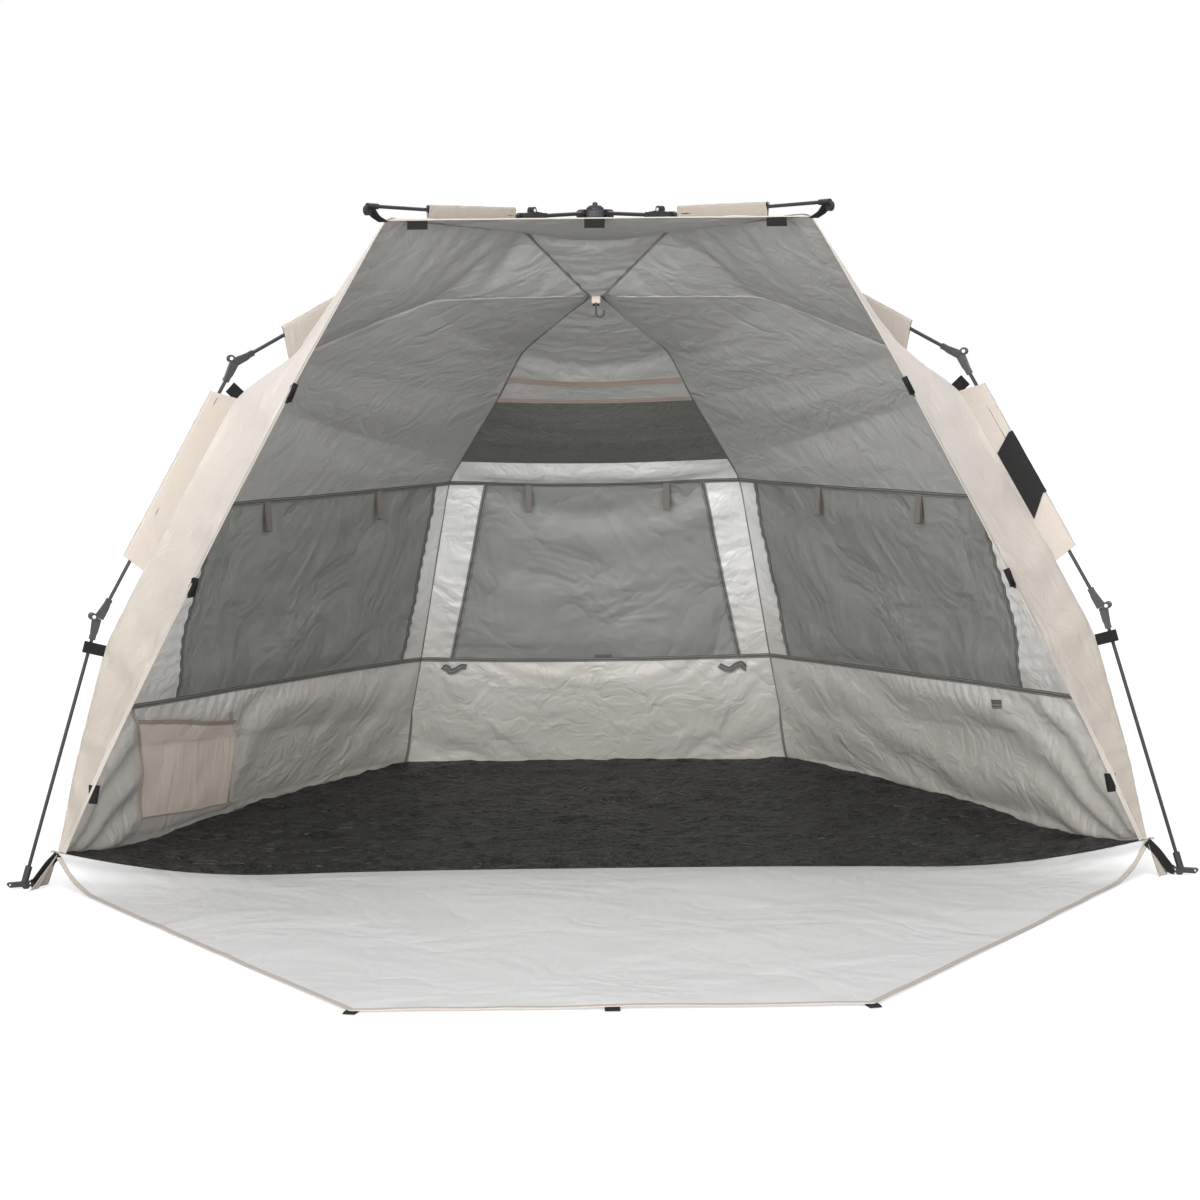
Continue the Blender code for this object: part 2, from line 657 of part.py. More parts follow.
def wall_rows(first, second, top_shares, bottom_shares, bulge, sign):
    """Rows of points across a wall, between its two seams."""
    rows = []
    for k, (a, b) in enumerate(zip(first, second)):
        weight = (k - WINDOW_ROWS[0]) / (WINDOW_ROWS[1] - WINDOW_ROWS[0])
        shares = lerp_share(top_shares, bottom_shares, min(max(weight, 0), 1))
        chord = b - a
        out = Vector((chord.y, -chord.x, 0)).normalized() * sign
        rows.append([a.lerp(b, s) + 4 * s * (1 - s) * bulge[k] * out for s in shares])
    return rows


class Canopy:
    """Inner points of every panel, and outer points that adjoining panels share."""

    def __init__(self, poles):
        self.panels = {}
        for side, hand in ((1, "right"), (-1, "left")):
            front = side_seam(poles["front_" + hand])
            rear = rear_seam(poles["rear_" + hand])
            awning = front_seam(poles["awning_" + hand], front[-1])
            bulge = [WALL_BULGE * s for s in SIDE_BULGE_SHARES]
            rows = wall_rows(front, rear, SIDE_COLUMNS_TOP_SHARES, SIDE_COLUMNS_BOTTOM_SHARES, bulge, side)
            floor_top = FABRIC + SEAM_GAP
            for point, share in zip(rows[-1], SIDE_COLUMNS_BOTTOM_SHARES):
                raised = max(0, 1 - share / CORNER_RAISE_SHARE)
                point.z = floor_top + (front[-1].z - floor_top) * raised * raised
            self.panels["side_wall_" + hand] = rows
            flat = [0] * len(front)
            self.panels["wing_" + hand] = wall_rows(
                awning, front, WING_COLUMNS_SHARES, WING_COLUMNS_SHARES, flat, side
            )
        left, right = self.panels["side_wall_left"], self.panels["side_wall_right"]
        flat = [0] * len(left)
        self.panels["rear_wall"] = wall_rows(
            [row[-1] for row in right], [row[-1] for row in left],
            REAR_COLUMNS_TOP_SHARES, REAR_COLUMNS_BOTTOM_SHARES, flat, 1,
        )
        wings = self.panels["wing_left"], self.panels["wing_right"]
        self.panels["awning"] = [
            [wings[0][k][0].lerp(wings[1][k][0], s) for s in AWNING_COLUMNS_SHARES] for k in range(3)
        ]
        self.normals = self.shared_normals()

    @staticmethod
    def key(point):
        return tuple(round(c, 6) for c in point)

    def shared_normals(self):
        """Outward normals at every point, averaged over all the panels that meet there."""
        sums = {}
        for name, rows in self.panels.items():
            sign = -1 if name in ("side_wall_left", "wing_left") else 1
            for upper, lower in zip(rows, rows[1:]):
                for k in range(len(upper) - 1):
                    a, b, c, d = upper[k], upper[k + 1], lower[k + 1], lower[k]
                    normal = sign * (c - a).cross(b - d)
                    for point in (a, b, c, d):
                        sums.setdefault(self.key(point), Vector((0, 0, 0)))
                        sums[self.key(point)] += normal
        return {k: v.normalized() for k, v in sums.items()}

    def outward(self, point, flat=False):
        normal = self.normals[self.key(point)].copy()
        if flat:
            normal.z = 0
            normal.normalize()
        return normal

    def sheet(self, name, panel, first_row, last_row, first_column, last_column, low, high, inset):
        """A closed sheet over a block of a panel, from one distance outwards to another."""
        rows = [row[first_column:last_column + 1] for row in self.panels[panel][first_row:last_row + 1]]
        bottom = last_row == len(self.panels[panel]) - 1 and panel != "awning"
        layers = []
        for distance in (low, high):
            layer = []
            for i, row in enumerate(rows):
                level = bottom and i == len(rows) - 1
                layer.append([p + distance * self.outward(p, level) for p in row])
            layers.append(layer)
        for layer in layers:
            pull_in(layer, inset)
        return grid_solid(layers[0], layers[1], name)


def pull_in(layer, inset):
    """Move a sheet's edges inwards by a gap, along its own surface."""
    for row in layer:
        row[0] += inset * (row[1] - row[0]).normalized()
        row[-1] += inset * (row[-2] - row[-1]).normalized()
    for k in range(len(layer[0])):
        layer[0][k] = layer[0][k] + inset * (layer[1][k] - layer[0][k]).normalized()
        step = layer[-2][k] - layer[-1][k]
        layer[-1][k] = layer[-1][k] + inset * step.normalized()


def grid_solid(inner, outer, name):
    """A closed solid between two grids of points."""
    bm = bmesh.new()
    low = [[bm.verts.new(p) for p in row] for row in inner]
    high = [[bm.verts.new(p) for p in row] for row in outer]
    rows, columns = len(low), len(low[0])
    for i in range(rows - 1):
        for k in range(columns - 1):
            for grid in (low, high):
                a, b, c, d = grid[i][k], grid[i][k + 1], grid[i + 1][k + 1], grid[i + 1][k]
                bm.faces.new((a, b, c))
                bm.faces.new((a, c, d))
    rim = [(0, k) for k in range(columns)]
    rim += [(i, columns - 1) for i in range(1, rows)]
    rim += [(rows - 1, k) for k in range(columns - 2, -1, -1)]
    rim += [(i, 0) for i in range(rows - 2, 0, -1)]
    for here, there in zip(rim, rim[1:] + rim[:1]):
        bm.faces.new((
            low[here[0]][here[1]], low[there[0]][there[1]],
            high[there[0]][there[1]], high[here[0]][here[1]],
        ))
    return object_from(bm, name)


def make_canopy(canopy):
    """The sewn panels of the canopy, each its own sheet of fabric."""
    last = len(canopy.panels["rear_wall"]) - 1
    gap = SEAM_GAP / 2
    for hand in ("right", "left"):
        columns = len(SIDE_COLUMNS_TOP_SHARES) - 1
        wall = canopy.sheet("side_wall_" + hand, "side_wall_" + hand, 0, last, 0, columns, 0, FABRIC, gap)
        finish(wall, "side_wall_" + hand, "grey_lining")
        columns = len(WING_COLUMNS_SHARES) - 1
        wing = canopy.sheet("wing_" + hand, "wing_" + hand, 0, last, 0, columns, 0, FABRIC, gap)
        finish(wing, "wing_" + hand, "beige_fabric")
    columns = len(REAR_COLUMNS_TOP_SHARES) - 1
    bands = (
        ("rear_roof", 0, VENT_ROWS[0], "beige_fabric"),
        ("vent_mesh", *VENT_ROWS, "window_mesh"),
        ("rear_wall", VENT_ROWS[1], last, "grey_lining"),
    )
    for name, top, bottom, colour in bands:
        band = canopy.sheet(name, "rear_wall", top, bottom, 0, columns, 0, FABRIC, gap)
        finish(band, name, colour)
    awning = canopy.sheet("awning_panel", "awning", 0, 2, 0, len(AWNING_COLUMNS_SHARES) - 1, 0, FABRIC, gap)
    finish(awning, "awning_panel", "grey_lining")


def make_covers(canopy):
    """The rain covers outside the three windows, each hung from its window's top edge."""
    low = FABRIC + COVER_GAP
    for panel, name in (("side_wall_right", "right"), ("side_wall_left", "left"), ("rear_wall", "rear")):
        columns = len(canopy.panels[panel][0]) - 1
        high = low + COVER_THICKNESS
        cover = canopy.sheet("cover", panel, *WINDOW_ROWS, 1, columns - 1, low, high, 0)
        finish(cover, "window_cover_" + name, "beige_fabric")
        row = canopy.panels[panel][WINDOW_ROWS[0]]
        middle = (row[1] + row[columns - 1]) / 2
        cover.data.transform(Matrix.Translation(-middle))
        cover.location = middle


def make_apex(canopy, hub_low):
    """The patch where all seams meet, with the strap that hangs it from the hub."""
    ring = []
    for name in ("awning", "side_wall_right", "side_wall_left"):
        ring += [canopy.panels[name][0][0], canopy.panels[name][0][-1]]
    ring.sort(key=lambda p: math.atan2(p.y, p.x))
    bm = bmesh.new()
    layers = []
    for distance in (0, FABRIC):
        layer = [p + distance * canopy.outward(p) for p in ring]
        layer = [p.lerp(Vector((0, 0, p.z)), SEAM_GAP / APEX_RADIUS) for p in layer]
        layers.append([bm.verts.new(p) for p in layer])
        bm.faces.new(layers[-1])
    for k in range(len(ring)):
        bm.faces.new((layers[0][k - 1], layers[0][k], layers[1][k], layers[1][k - 1]))
    bmesh.ops.triangulate(bm, faces=bm.faces)
    body = object_from(bm, "apex")
    height = ring[0].z
    half, thick = STRAP_HALF_WIDTH, STRAP_HALF_THICKNESS
    corners = [Vector((-half, height)), Vector((half, height))]
    corners += [Vector((half, hub_low - SEAT_GAP)), Vector((-half, hub_low - SEAT_GAP))]
    add(body, prism(corners, -thick, thick))
    half = HOOK_LOOP_HALF_WIDTH
    bottom = height - HOOK_LOOP_LENGTH
    corners = [Vector((-half, bottom)), Vector((half, bottom))]
    corners += [Vector((half, height + FABRIC / 2)), Vector((-half, height + FABRIC / 2))]
    loop = prism(corners, -thick, thick)
    add(body, loop)
    eye = Vector((0, bottom + HOOK_EYE_RADIUS))
    cut(body, disc(eye, HOOK_WIRE_RADIUS + SEAT_GAP, -thick - OVERRUN, thick + OVERRUN, ROD_SIDES))
    finish(body, "apex_strap", "black_webbing")
    return eye


def make_hook(eye):
    """A plastic hook that hangs in the strap's loop and swings from side to side."""
    wire = HOOK_WIRE_RADIUS
    across = STRAP_HALF_THICKNESS + wire + SEAT_GAP
    drop = math.hypot(HOOK_LOOP_HALF_WIDTH, HOOK_EYE_RADIUS) + wire + SEAT_GAP
    body = disc(eye, wire, -across - wire, across + wire, ROD_SIDES)
    for low, high in ((-across - wire, -across + wire), (across - wire, across + wire)):
        corners = [eye + Vector((-wire, -drop)), eye + Vector((wire, -drop))]
        corners += [eye + Vector((wire, wire)), eye + Vector((-wire, wire))]
        add(body, prism(corners, low, high))
    corners = [eye + Vector((-wire, -drop - HOOK_SHANK)), eye + Vector((wire, -drop - HOOK_SHANK))]
    corners += [eye + Vector((wire, -drop + wire)), eye + Vector((-wire, -drop + wire))]
    add(body, prism(corners, -across - wire, across + wire))
    bend = eye + Vector((HOOK_BEND_RADIUS, -drop - HOOK_SHANK))
    outer, inner = [], []
    for k in range(EAR_SIDES // 2 + 1):
        turn = math.pi + math.pi * k / (EAR_SIDES // 2)
        step = Vector((math.cos(turn), math.sin(turn)))
        outer.append(bend + (HOOK_BEND_RADIUS + wire) * step)
        inner.append(bend + (HOOK_BEND_RADIUS - wire) * step)
    lip = Vector((0, HOOK_LIP))
    outline = outer + [outer[-1] + lip, inner[-1] + lip] + inner[::-1]
    outline += [inner[0] + Vector((0, wire)), outer[0] + Vector((0, wire))]
    add(body, prism(outline, -wire, wire))
    finish(body, "apex_hook", "black_plastic")
    body.data.transform(Matrix.Translation((-eye.x, 0, -eye.y)))
    body.location = (eye.x, 0, eye.y)


def sleeve(pole, section, seam, rod_shares, seam_rows, name):
    """A fabric tube round a rod, with a web down to the canopy's seam under it."""
    last = len(pole.pins) == 3
    start, end, axis = pole.axis_line(section, PIN_OFFSET, 0 if last else PIN_OFFSET)
    ends = [start.lerp(end, share) for share in rod_shares]
    foot = [seam[k] for k in range(seam_rows[0], seam_rows[1] + 1)]
    body = prism([ends[1], ends[0]] + foot, -SLEEVE_WEB_HALF_WIDTH, SLEEVE_WEB_HALF_WIDTH)
    add(body, rod(ends[0], ends[1], ROD_RADIUS + SLEEVE_OVER_ROD))
    cut(body, rod(start, end, ROD_RADIUS + SLEEVE_GAP))
    return finish(body, name, "beige_fabric", pole, pole.pins[section])


def seam_in_plane(canopy, pole, points):
    """A seam's outer points in its pole's plane, lifted clear of the fabric."""
    turn = Matrix.Rotation(-pole.azimuth, 3, "Z")
    lifted = []
    for point in points:
        local = turn @ (point + (FABRIC + SLEEVE_CLEAR) * canopy.outward(point))
        lifted.append(Vector((local.x, local.z)))
    return lifted


def make_sleeves(canopy, poles):
    for hand in ("right", "left"):
        front = poles["front_" + hand]
        wall = canopy.panels["side_wall_" + hand]
        seam = seam_in_plane(canopy, front, [row[0] for row in wall])
        sleeve(front, 1, seam, UPPER_SLEEVE_SHARES, UPPER_SLEEVE_ROWS, "upper_sleeve_front_" + hand)
        sleeve(front, 2, seam, MID_SLEEVE_SHARES, MID_SLEEVE_ROWS, "mid_sleeve_front_" + hand)
        rear = poles["rear_" + hand]
        seam = seam_in_plane(canopy, rear, [row[-1] for row in wall])
        sleeve(rear, 2, seam, REAR_SLEEVE_SHARES, REAR_SLEEVE_ROWS, "mid_sleeve_rear_" + hand)
        awning = poles["awning_" + hand]
        wing = canopy.panels["wing_" + hand]
        seam = seam_in_plane(canopy, awning, [row[0] for row in wing[:3]])
        ends = [seam[1].lerp(seam[2], share) for share in AWNING_SEAM_SHARES]
        sleeve(awning, 1, ends, AWNING_SLEEVE_SHARES, (0, 1), "awning_sleeve_" + hand)


def make_floor(canopy):
    """The floor's fabric, raised at the two front corners where the feet hold it."""
    right = canopy.panels["side_wall_right"][-1]
    left = canopy.panels["side_wall_left"][-1]
    layer = []
    for a, b in zip(right, left):
        row = []
        out_a = canopy.outward(a, True) * (FABRIC + FLOOR_MARGIN)
        out_b = canopy.outward(b, True) * (FABRIC + FLOOR_MARGIN)
        start, end = a + out_a, b + out_b
        for share in FLOOR_COLUMNS_SHARES:
            point = start.lerp(end, share)
            edge = max(0, abs(2 * share - 1) - FLOOR_FLAT_SHARE) / (1 - FLOOR_FLAT_SHARE)
            point.z = (a.z - SEAM_GAP - FABRIC) * edge * edge
            row.append(point)
        layer.append(row)
    front = [p - Vector((0, FLOOR_FRONT_MARGIN, 0)) for p in layer[0]]
    back = [p + Vector((0, FABRIC + FLOOR_MARGIN, 0)) for p in layer[-1]]
    layer = [front] + layer[:-1] + [back]
    low = [[p.copy() for p in row] for row in layer]
    high = [[p + Vector((0, 0, FABRIC)) for p in row] for row in layer]
    finish(grid_solid(low, high, "floor"), "floor", "floor_fabric")
    return front[0]


def make_porch(floor_corner):
    """The flap that lies in front of the floor and zips up over the doorway."""
    hinge = floor_corner.y - SEAT_GAP
    back_half_width = abs(floor_corner.x) - PORCH_CORNER_INSET
    low = [
        Vector((-back_half_width, hinge, 0)),
        Vector((-PORCH_FRONT_HALF_WIDTH, hinge - PORCH_LENGTH, 0)),
        Vector((PORCH_FRONT_HALF_WIDTH, hinge - PORCH_LENGTH, 0)),
        Vector((back_half_width, hinge, 0)),
    ]
    grid = [[low[0].lerp(low[3], s) for s in AWNING_COLUMNS_SHARES]]
    grid += [[low[1].lerp(low[2], s) for s in AWNING_COLUMNS_SHARES]]
    high = [[p + Vector((0, 0, FABRIC)) for p in row] for row in grid]
    porch = finish(grid_solid(grid, high, "porch"), "porch", "porch_fabric")
    axis = Vector((0, hinge, FABRIC))
    porch.data.transform(Matrix.Translation(-axis))
    porch.location = axis


def make_leg(pole):
    make_arm(pole)
    make_upper_rod(pole)
    make_upper_knuckle(pole)
    make_mid_rod(pole)
    make_lower_knuckle(pole)
    make_lower_rod(pole)
    make_foot(pole)


def main():
    clear_scene()
    poles = make_poles()
    for name, pole in poles.items():
        if name.startswith("awning"):
            make_arm(pole)
            make_upper_rod(pole)
            make_awning_tip(pole)
        else:
            make_leg(pole)
    hub_low = make_hub(poles)
    canopy = Canopy(poles)
    make_canopy(canopy)
    make_covers(canopy)
    eye = make_apex(canopy, hub_low)
    make_hook(eye)
    make_sleeves(canopy, poles)
    make_porch(make_floor(canopy))


main()
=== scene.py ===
"""A quick-up beach tent, dressed over its folding frame: canopy, floor, porch, trim and studio.

Metres, +Z up, in the frame's own coordinates: the ground under the hub is the origin and the
doorway faces -Y. Every canopy panel is a sheet between two seams, and the seams follow the poles.
"""

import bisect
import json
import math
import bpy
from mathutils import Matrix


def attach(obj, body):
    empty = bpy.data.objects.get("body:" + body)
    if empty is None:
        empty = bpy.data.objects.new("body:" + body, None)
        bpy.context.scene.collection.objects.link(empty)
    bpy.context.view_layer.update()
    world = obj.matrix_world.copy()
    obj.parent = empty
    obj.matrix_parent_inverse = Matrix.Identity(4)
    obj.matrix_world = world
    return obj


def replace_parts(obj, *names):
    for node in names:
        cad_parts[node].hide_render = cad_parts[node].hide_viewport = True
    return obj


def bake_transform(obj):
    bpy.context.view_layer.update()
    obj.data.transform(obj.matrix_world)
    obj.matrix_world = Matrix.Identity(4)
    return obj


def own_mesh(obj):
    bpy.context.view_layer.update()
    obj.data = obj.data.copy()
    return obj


bl_info = {
    "name": "Beach Tent",
    "version": (1, 0, 0),
    "blender": (4, 5, 0),
    "location": "View3D > Sidebar > Tent",
    "description": "Sews the canopy, floor, porch and trim of a quick-up beach tent over its folding frame",
    "category": "Object",
}

from typing import NamedTuple

import bmesh
import bpy
from bpy.props import FloatProperty, FloatVectorProperty, IntProperty, PointerProperty
from mathutils import Matrix, Quaternion, Vector, noise

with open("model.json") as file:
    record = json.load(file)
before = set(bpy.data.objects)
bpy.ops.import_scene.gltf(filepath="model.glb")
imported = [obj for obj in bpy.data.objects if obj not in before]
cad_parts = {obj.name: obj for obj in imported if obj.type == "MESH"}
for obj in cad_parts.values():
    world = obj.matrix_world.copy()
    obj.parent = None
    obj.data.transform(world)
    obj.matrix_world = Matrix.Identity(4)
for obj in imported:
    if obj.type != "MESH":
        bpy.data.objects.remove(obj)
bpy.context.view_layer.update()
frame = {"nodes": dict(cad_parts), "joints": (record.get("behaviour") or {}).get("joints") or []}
JOINTS = {joint["name"]: joint for joint in frame["joints"]}

# The photograph's camera
CAMERA_PLACE = Vector((-0.068, -6.364, 1.237))
CAMERA_FORWARD = Vector((0.011, 0.9946, -0.104))
CAMERA_ROLL = -0.010
CAMERA_LENS = 82.35

# Lights: name, place, aim, size, power
WORLD_LEVEL = 0.48
PAPER_GLOW = (0.56, 0.85)
PAPER_GLOW_REACH = (2.2, 6.0)
LAMPS = (
    ("key", (-2.6, -7.2, 2.5), (0, 0, 0.6), 4.5, 780),
    ("fill", (2.8, -7.2, 2.2), (0, 0, 0.6), 4.5, 430),
    ("top", (0.0, -2.0, 6.0), (0, -0.4, 0), 4.0, 150),
    ("rear", (0.0, 6.5, 4.0), (0, 0.6, 0.6), 5.0, 140),
)

# Fabric, in metres
CLOTH = 0.0008
SHEET = 0.002
SEAM_GAP = 0.0004
APEX_DROP = 0.187
APEX_RADIUS = 0.030
WALL_BULGE = 0.090
HEM_CORNER_INSET = 0.014
HEM_CORNER_FORWARD = 0.006
HEM_BOW = 0.020

# Seams: insets from the pins' line, and places as shares of a pole's section
FRONT_KNEE_INSET = 0.045
FRONT_KNEE_SHARE = 0.050
FRONT_CORNER_INSET = 0.024
FRONT_CORNER_SHARE = 0.905
SIDE_KNEE_INSET = 0.106
SIDE_SHOULDER_INSET = 0.066
SLEEVE_INSET = 0.050
SIDE_LOWER_INSET = 0.041
SIDE_CORNER_INSET = 0.0515
SIDE_STATION_SHARES = (
    (1, 0.317, SIDE_KNEE_INSET),
    (1, 0.832, SIDE_SHOULDER_INSET),
    (2, 0.108, SLEEVE_INSET),
    (2, 0.545, SLEEVE_INSET),
    (2, 0.784, SLEEVE_INSET),
    (3, 0.092, SIDE_LOWER_INSET),
    (3, 0.360, SIDE_LOWER_INSET),
    (3, 0.522, SIDE_LOWER_INSET),
    (3, 0.874, SIDE_CORNER_INSET),
)
REAR_STATION_SHARES = (
    (0.304, 0.781),
    (0.414, 0.698),
    (0.588, 0.586),
    (0.646, 0.549),
    (0.705, 0.4235),
    (0.755, 0.314),
    (0.802, 0.2124),
    (0.857, 0.106),
    (0.911, 0.0),
)
HEM_SHARES = (0.0, 0.22, 0.40, 0.52, 0.64, 0.755, 0.85, 1.0)
CORNER_RAISE_SHARE = 0.35

# Columns of each panel between its seams, at the window's top and bottom
SIDE_TOP_SHARES = (0.0, 0.136, 0.33, 0.53, 0.73, 0.94, 1.0)
SIDE_BOTTOM_SHARES = (0.0, 0.262, 0.40, 0.56, 0.74, 0.94, 1.0)
REAR_TOP_SHARES = (0.0, 0.128, 0.376, 0.624, 0.872, 1.0)
REAR_BOTTOM_SHARES = (0.0, 0.088, 0.363, 0.637, 0.912, 1.0)
PLAIN_SHARES = (0.0, 0.5, 1.0)
SIDE_BULGE_SHARES = (0.0, 0.0, 0.05, 0.1, 0.25, 0.35, 0.45, 0.6, 0.8, 1.0)

# Rows of the windows and the vent, counted in stations down the seams
WINDOW_TOP_ROW = 4
WINDOW_BOTTOM_ROW = 7
VENT_TOP_ROW = 2
VENT_BOTTOM_ROW = 3
LAST_ROW = 9
CORNER_ROW = 2
WALL_COLUMNS = {
    "side_right": len(SIDE_TOP_SHARES) - 1,
    "side_left": len(SIDE_TOP_SHARES) - 1,
    "rear": len(REAR_TOP_SHARES) - 1,
}

# Rods, and the ripples that cloth starts to settle from
ROD_RADIUS = 0.004
RIPPLE_SCALE = 9.0
RIPPLE_DEPTH = 0.004
FOLD_DEPTH = 0.007
CORNER_FOLD_DEPTH = 0.008
CORNER_FOLD_TURNS = 26
CORNER_FOLD_WANDER = 3.08
PUCKER_DEPTH = 0.0032
PUCKER_ROWS = 0.9
PUCKERS_BELOW = 210
PUCKERS_BESIDE = 190
EDGE_CELLS = 4
WALL_SLACK_REACH = 0.024
WING_SLACK_REACH = 0.020
TAPE_HOLD_ROWS = 0.4
TAPE_HOLD = 0.45

# Trim sizes
MESH_THICKNESS = 0.0004
TAPE_THICKNESS = 0.0007
RIDGE_WIDTH = 0.003
STITCH_HEIGHT = 0.0003
GROUND_FACET = 0.10
GROUND_RELIEF = 0.012
VENT_BAND_ROWS = 0.40
COVER_LIFT = 0.0022
WINDOW_TAPE_THICKNESS = 0.0026
HEM_SOFTENING = 3

# Sleeves, as shares of the rods that run through them
SLEEVE_RADIUS = 0.0052
SLEEVE_CELL = 0.012
SLEEVE_TURNS = 14
UPPER_SLEEVE_SHARES = (0.317, 0.80)
MID_SLEEVE_SHARES = (0.13, 0.77)
REAR_SLEEVE_SHARES = (0.34, 0.78)
AWNING_SLEEVE_SHARES = (0.12, 0.66)
AWNING_SLEEVE_ROWS = (1.08, 1.715)
REAR_UPPER_SLEEVE_SHARES = (0.42, 0.62)
REAR_UPPER_SLEEVE_ROWS = (1.55, 2.25)
LABEL_SHARES = (0.32, 0.56)
LABEL_GAP = 0.0022

# Trim: window loops, tabs, pocket and straps, as (row, column) places on their panels
WINDOW_LOOPS = {
    "side_left": ((4.0, 1.90), (4.0, 3.95)),
    "side_right": ((4.0, 3.85), (4.0, 2.05)),
    "rear": ((4.0, 3.42), (4.0, 1.50)),
}
LOOP_LENGTH = 0.070
LOOP_WIDTH = 0.017
LOOP_TURN = 2.5
LOOP_PATH = (
    (0.0, 0.0025), (0.3, 0.0040), (0.8, 0.0065), (1.0, 0.0065), (1.0, 0.0030), (0.7, 0.0018), (0.0, 0.0006)
)
HEM_TAB = (0.042, 0.020)
HEM_TAB_ROWS = (3.25, 5.40, 8.35)
AWNING_TAB_COLUMNS = (0.145, 0.98, 1.84)
WALL_TABS = (("side_right", 7.35, 1.55), ("rear", 6.97, 2.42))
WALL_TAB_REACH = 0.09
WALL_TAB_WIDTH = 0.022
ZIP_WIDTH = 0.017
ZIP_DROP = 0.16
POCKET_CORNERS = ((7.08, 0.52), (7.42, 2.27), (8.50, 0.86), (8.65, 2.72))
POCKET_WIDTH = 0.33
POCKET_PUFF = 0.010
POCKET_MOUTH = 0.20
POCKET_CELLS = (26, 44)
POCKET_BINDING_WIDTHS = (0.011, 0.004, 0.010, 0.010)
RIDGE_LOOP_PLACE = (2.95, 0.0)
RIDGE_LOOP = (0.028, 0.030)
AWNING_TIE = (0.022, 0.0025)
FOOT_TIE = (0.020, 0.003)
FOOT_TIE_HEIGHT = 0.010
ROD_LOOP = (0.025, 0.0014)
ROD_LOOP_SHARE = 0.114
APEX_LOOP = (0.0095, 0.0032)
APEX_LOOP_OPEN = 0.006
FLAP_REACH = 0.062
FLAP_SPREAD = 0.040
FLAP_CELLS = (6, 10)
FOOT_LINE_WIDTH = 0.005
FOOT_LINE_ROW = LAST_ROW - 0.04
RIVET_RADIUS = 0.0042
RIVET_HEIGHT = 0.0016
RIVET_REACH = 0.020
RIVET_GREY = (0.45, 0.45, 0.45)

# Floor and porch
FLOOR_FLAT_SHARE = 0.6
FLOOR_FRONT_DEPTH = 0.125
FLOOR_CELLS = (140, 210)
PORCH_CELLS = (120, 170)
PORCH_BINDING_THICKNESS = 0.0022
PORCH_TAB_WIDTHS = (0.028, 0.022)
PORCH_TAB_PATH = ((0, 0), (0.026, 0.001), (0.036, 0.002), (0.026, 0.0045), (0, 0.0042))
PORCH_EDGE = (
    Vector((1.205, -0.424, 0.071)),
    Vector((1.150, -0.490, 0.020)),
    Vector((1.105, -0.560, 0.001)),
    Vector((0.985, -0.750, 0.0)),
    Vector((0.800, -1.040, 0.0)),
    Vector((0.465, -1.565, 0.0)),
)


class TentSizes(bpy.types.PropertyGroup):
    """Sizes of the sewn parts that a user would change."""

    thread: FloatProperty(
        name="Thread", description="Spacing of the cloth's threads", default=0.0012, unit="LENGTH"
    )
    cell: FloatProperty(
        name="Cell", description="Spacing of the sheets' grid", default=0.020, unit="LENGTH"
    )
    slack: FloatProperty(
        name="Slack", description="How much longer the cloth is cut than its seams", default=0.012
    )
    settle_frames: IntProperty(
        name="Settle frames", description="Steps that the cloth gets to fall into folds", default=20
    )
    tape_width: FloatProperty(
        name="Tape width", description="Width of the tapes round the windows", default=0.012, unit="LENGTH"
    )
    seam_width: FloatProperty(
        name="Seam width", description="Width of the tapes along the seams", default=0.009, unit="LENGTH"
    )
    binding_width: FloatProperty(
        name="Binding width", description="Width of the binding on free edges", default=0.010, unit="LENGTH"
    )


def colour_property(name, description, default):
    return FloatVectorProperty(
        name=name, description=description, default=default, subtype="COLOR", size=3, min=0, max=1
    )


class TentColours(bpy.types.PropertyGroup):
    """Colours of the tent, as linear values."""

    shell: colour_property("Shell", "Sand-coloured outer face of the canopy", (0.520, 0.475, 0.430))
    # Painted shade: the shell's cloth made darker for the shade that the sleeves sit in; the bindings, the
    # porch's underside and the sand flaps use it too.
    sleeve: colour_property("Sleeve", "Sleeves over the rods, a little darker", (0.345, 0.308, 0.270))
    lining: colour_property("Lining", "Silver-grey inner face of the walls", (0.660, 0.655, 0.635))
    # Painted shade: the walls' silver lining made darker for the shade under the roof and the awning.
    roof: colour_property("Roof lining", "Inner face of the roof panels", (0.370, 0.366, 0.350))
    mesh: colour_property("Mesh", "Window mesh", (0.330, 0.332, 0.315))
    vent: colour_property("Vent mesh", "Coarser mesh of the vent", (0.125, 0.125, 0.113))
    strap: colour_property("Loop", "Brown-grey loops that hold the rolled covers", (0.125, 0.112, 0.098))
    tape: colour_property("Tape", "Dark tape round the windows", (0.085, 0.085, 0.078))
    tan: colour_property("Tan tape", "Tapes over the vent", (0.290, 0.232, 0.192))
    ground: colour_property("Groundsheet", "Dark crinkled floor", (0.011, 0.011, 0.0105))
    rope: colour_property("Ridge", "Light stitched ridge along the front legs' seams", (0.400, 0.390, 0.370))
    thread: colour_property("Thread", "Stitching", (0.400, 0.395, 0.380))
    porch: colour_property("Porch", "Coated sheet of the porch", (0.560, 0.560, 0.560))
    pocket: colour_property("Pocket", "Inner pocket", (0.540, 0.465, 0.405))
    webbing: colour_property("Webbing", "Black straps and tabs", (0.006, 0.006, 0.006))
    plastic: colour_property("Plastic", "Moulded knuckles, hub and feet", (0.012, 0.012, 0.014))
    rod: colour_property("Rod", "Coated glass-fibre rods", (0.011, 0.012, 0.014))
    paper: colour_property("Backdrop", "Studio floor and backdrop", (0.420, 0.420, 0.420))


def sizes():
    return bpy.context.scene.tent_sizes


def colours():
    return bpy.context.scene.tent_colours


# Shader groups and materials

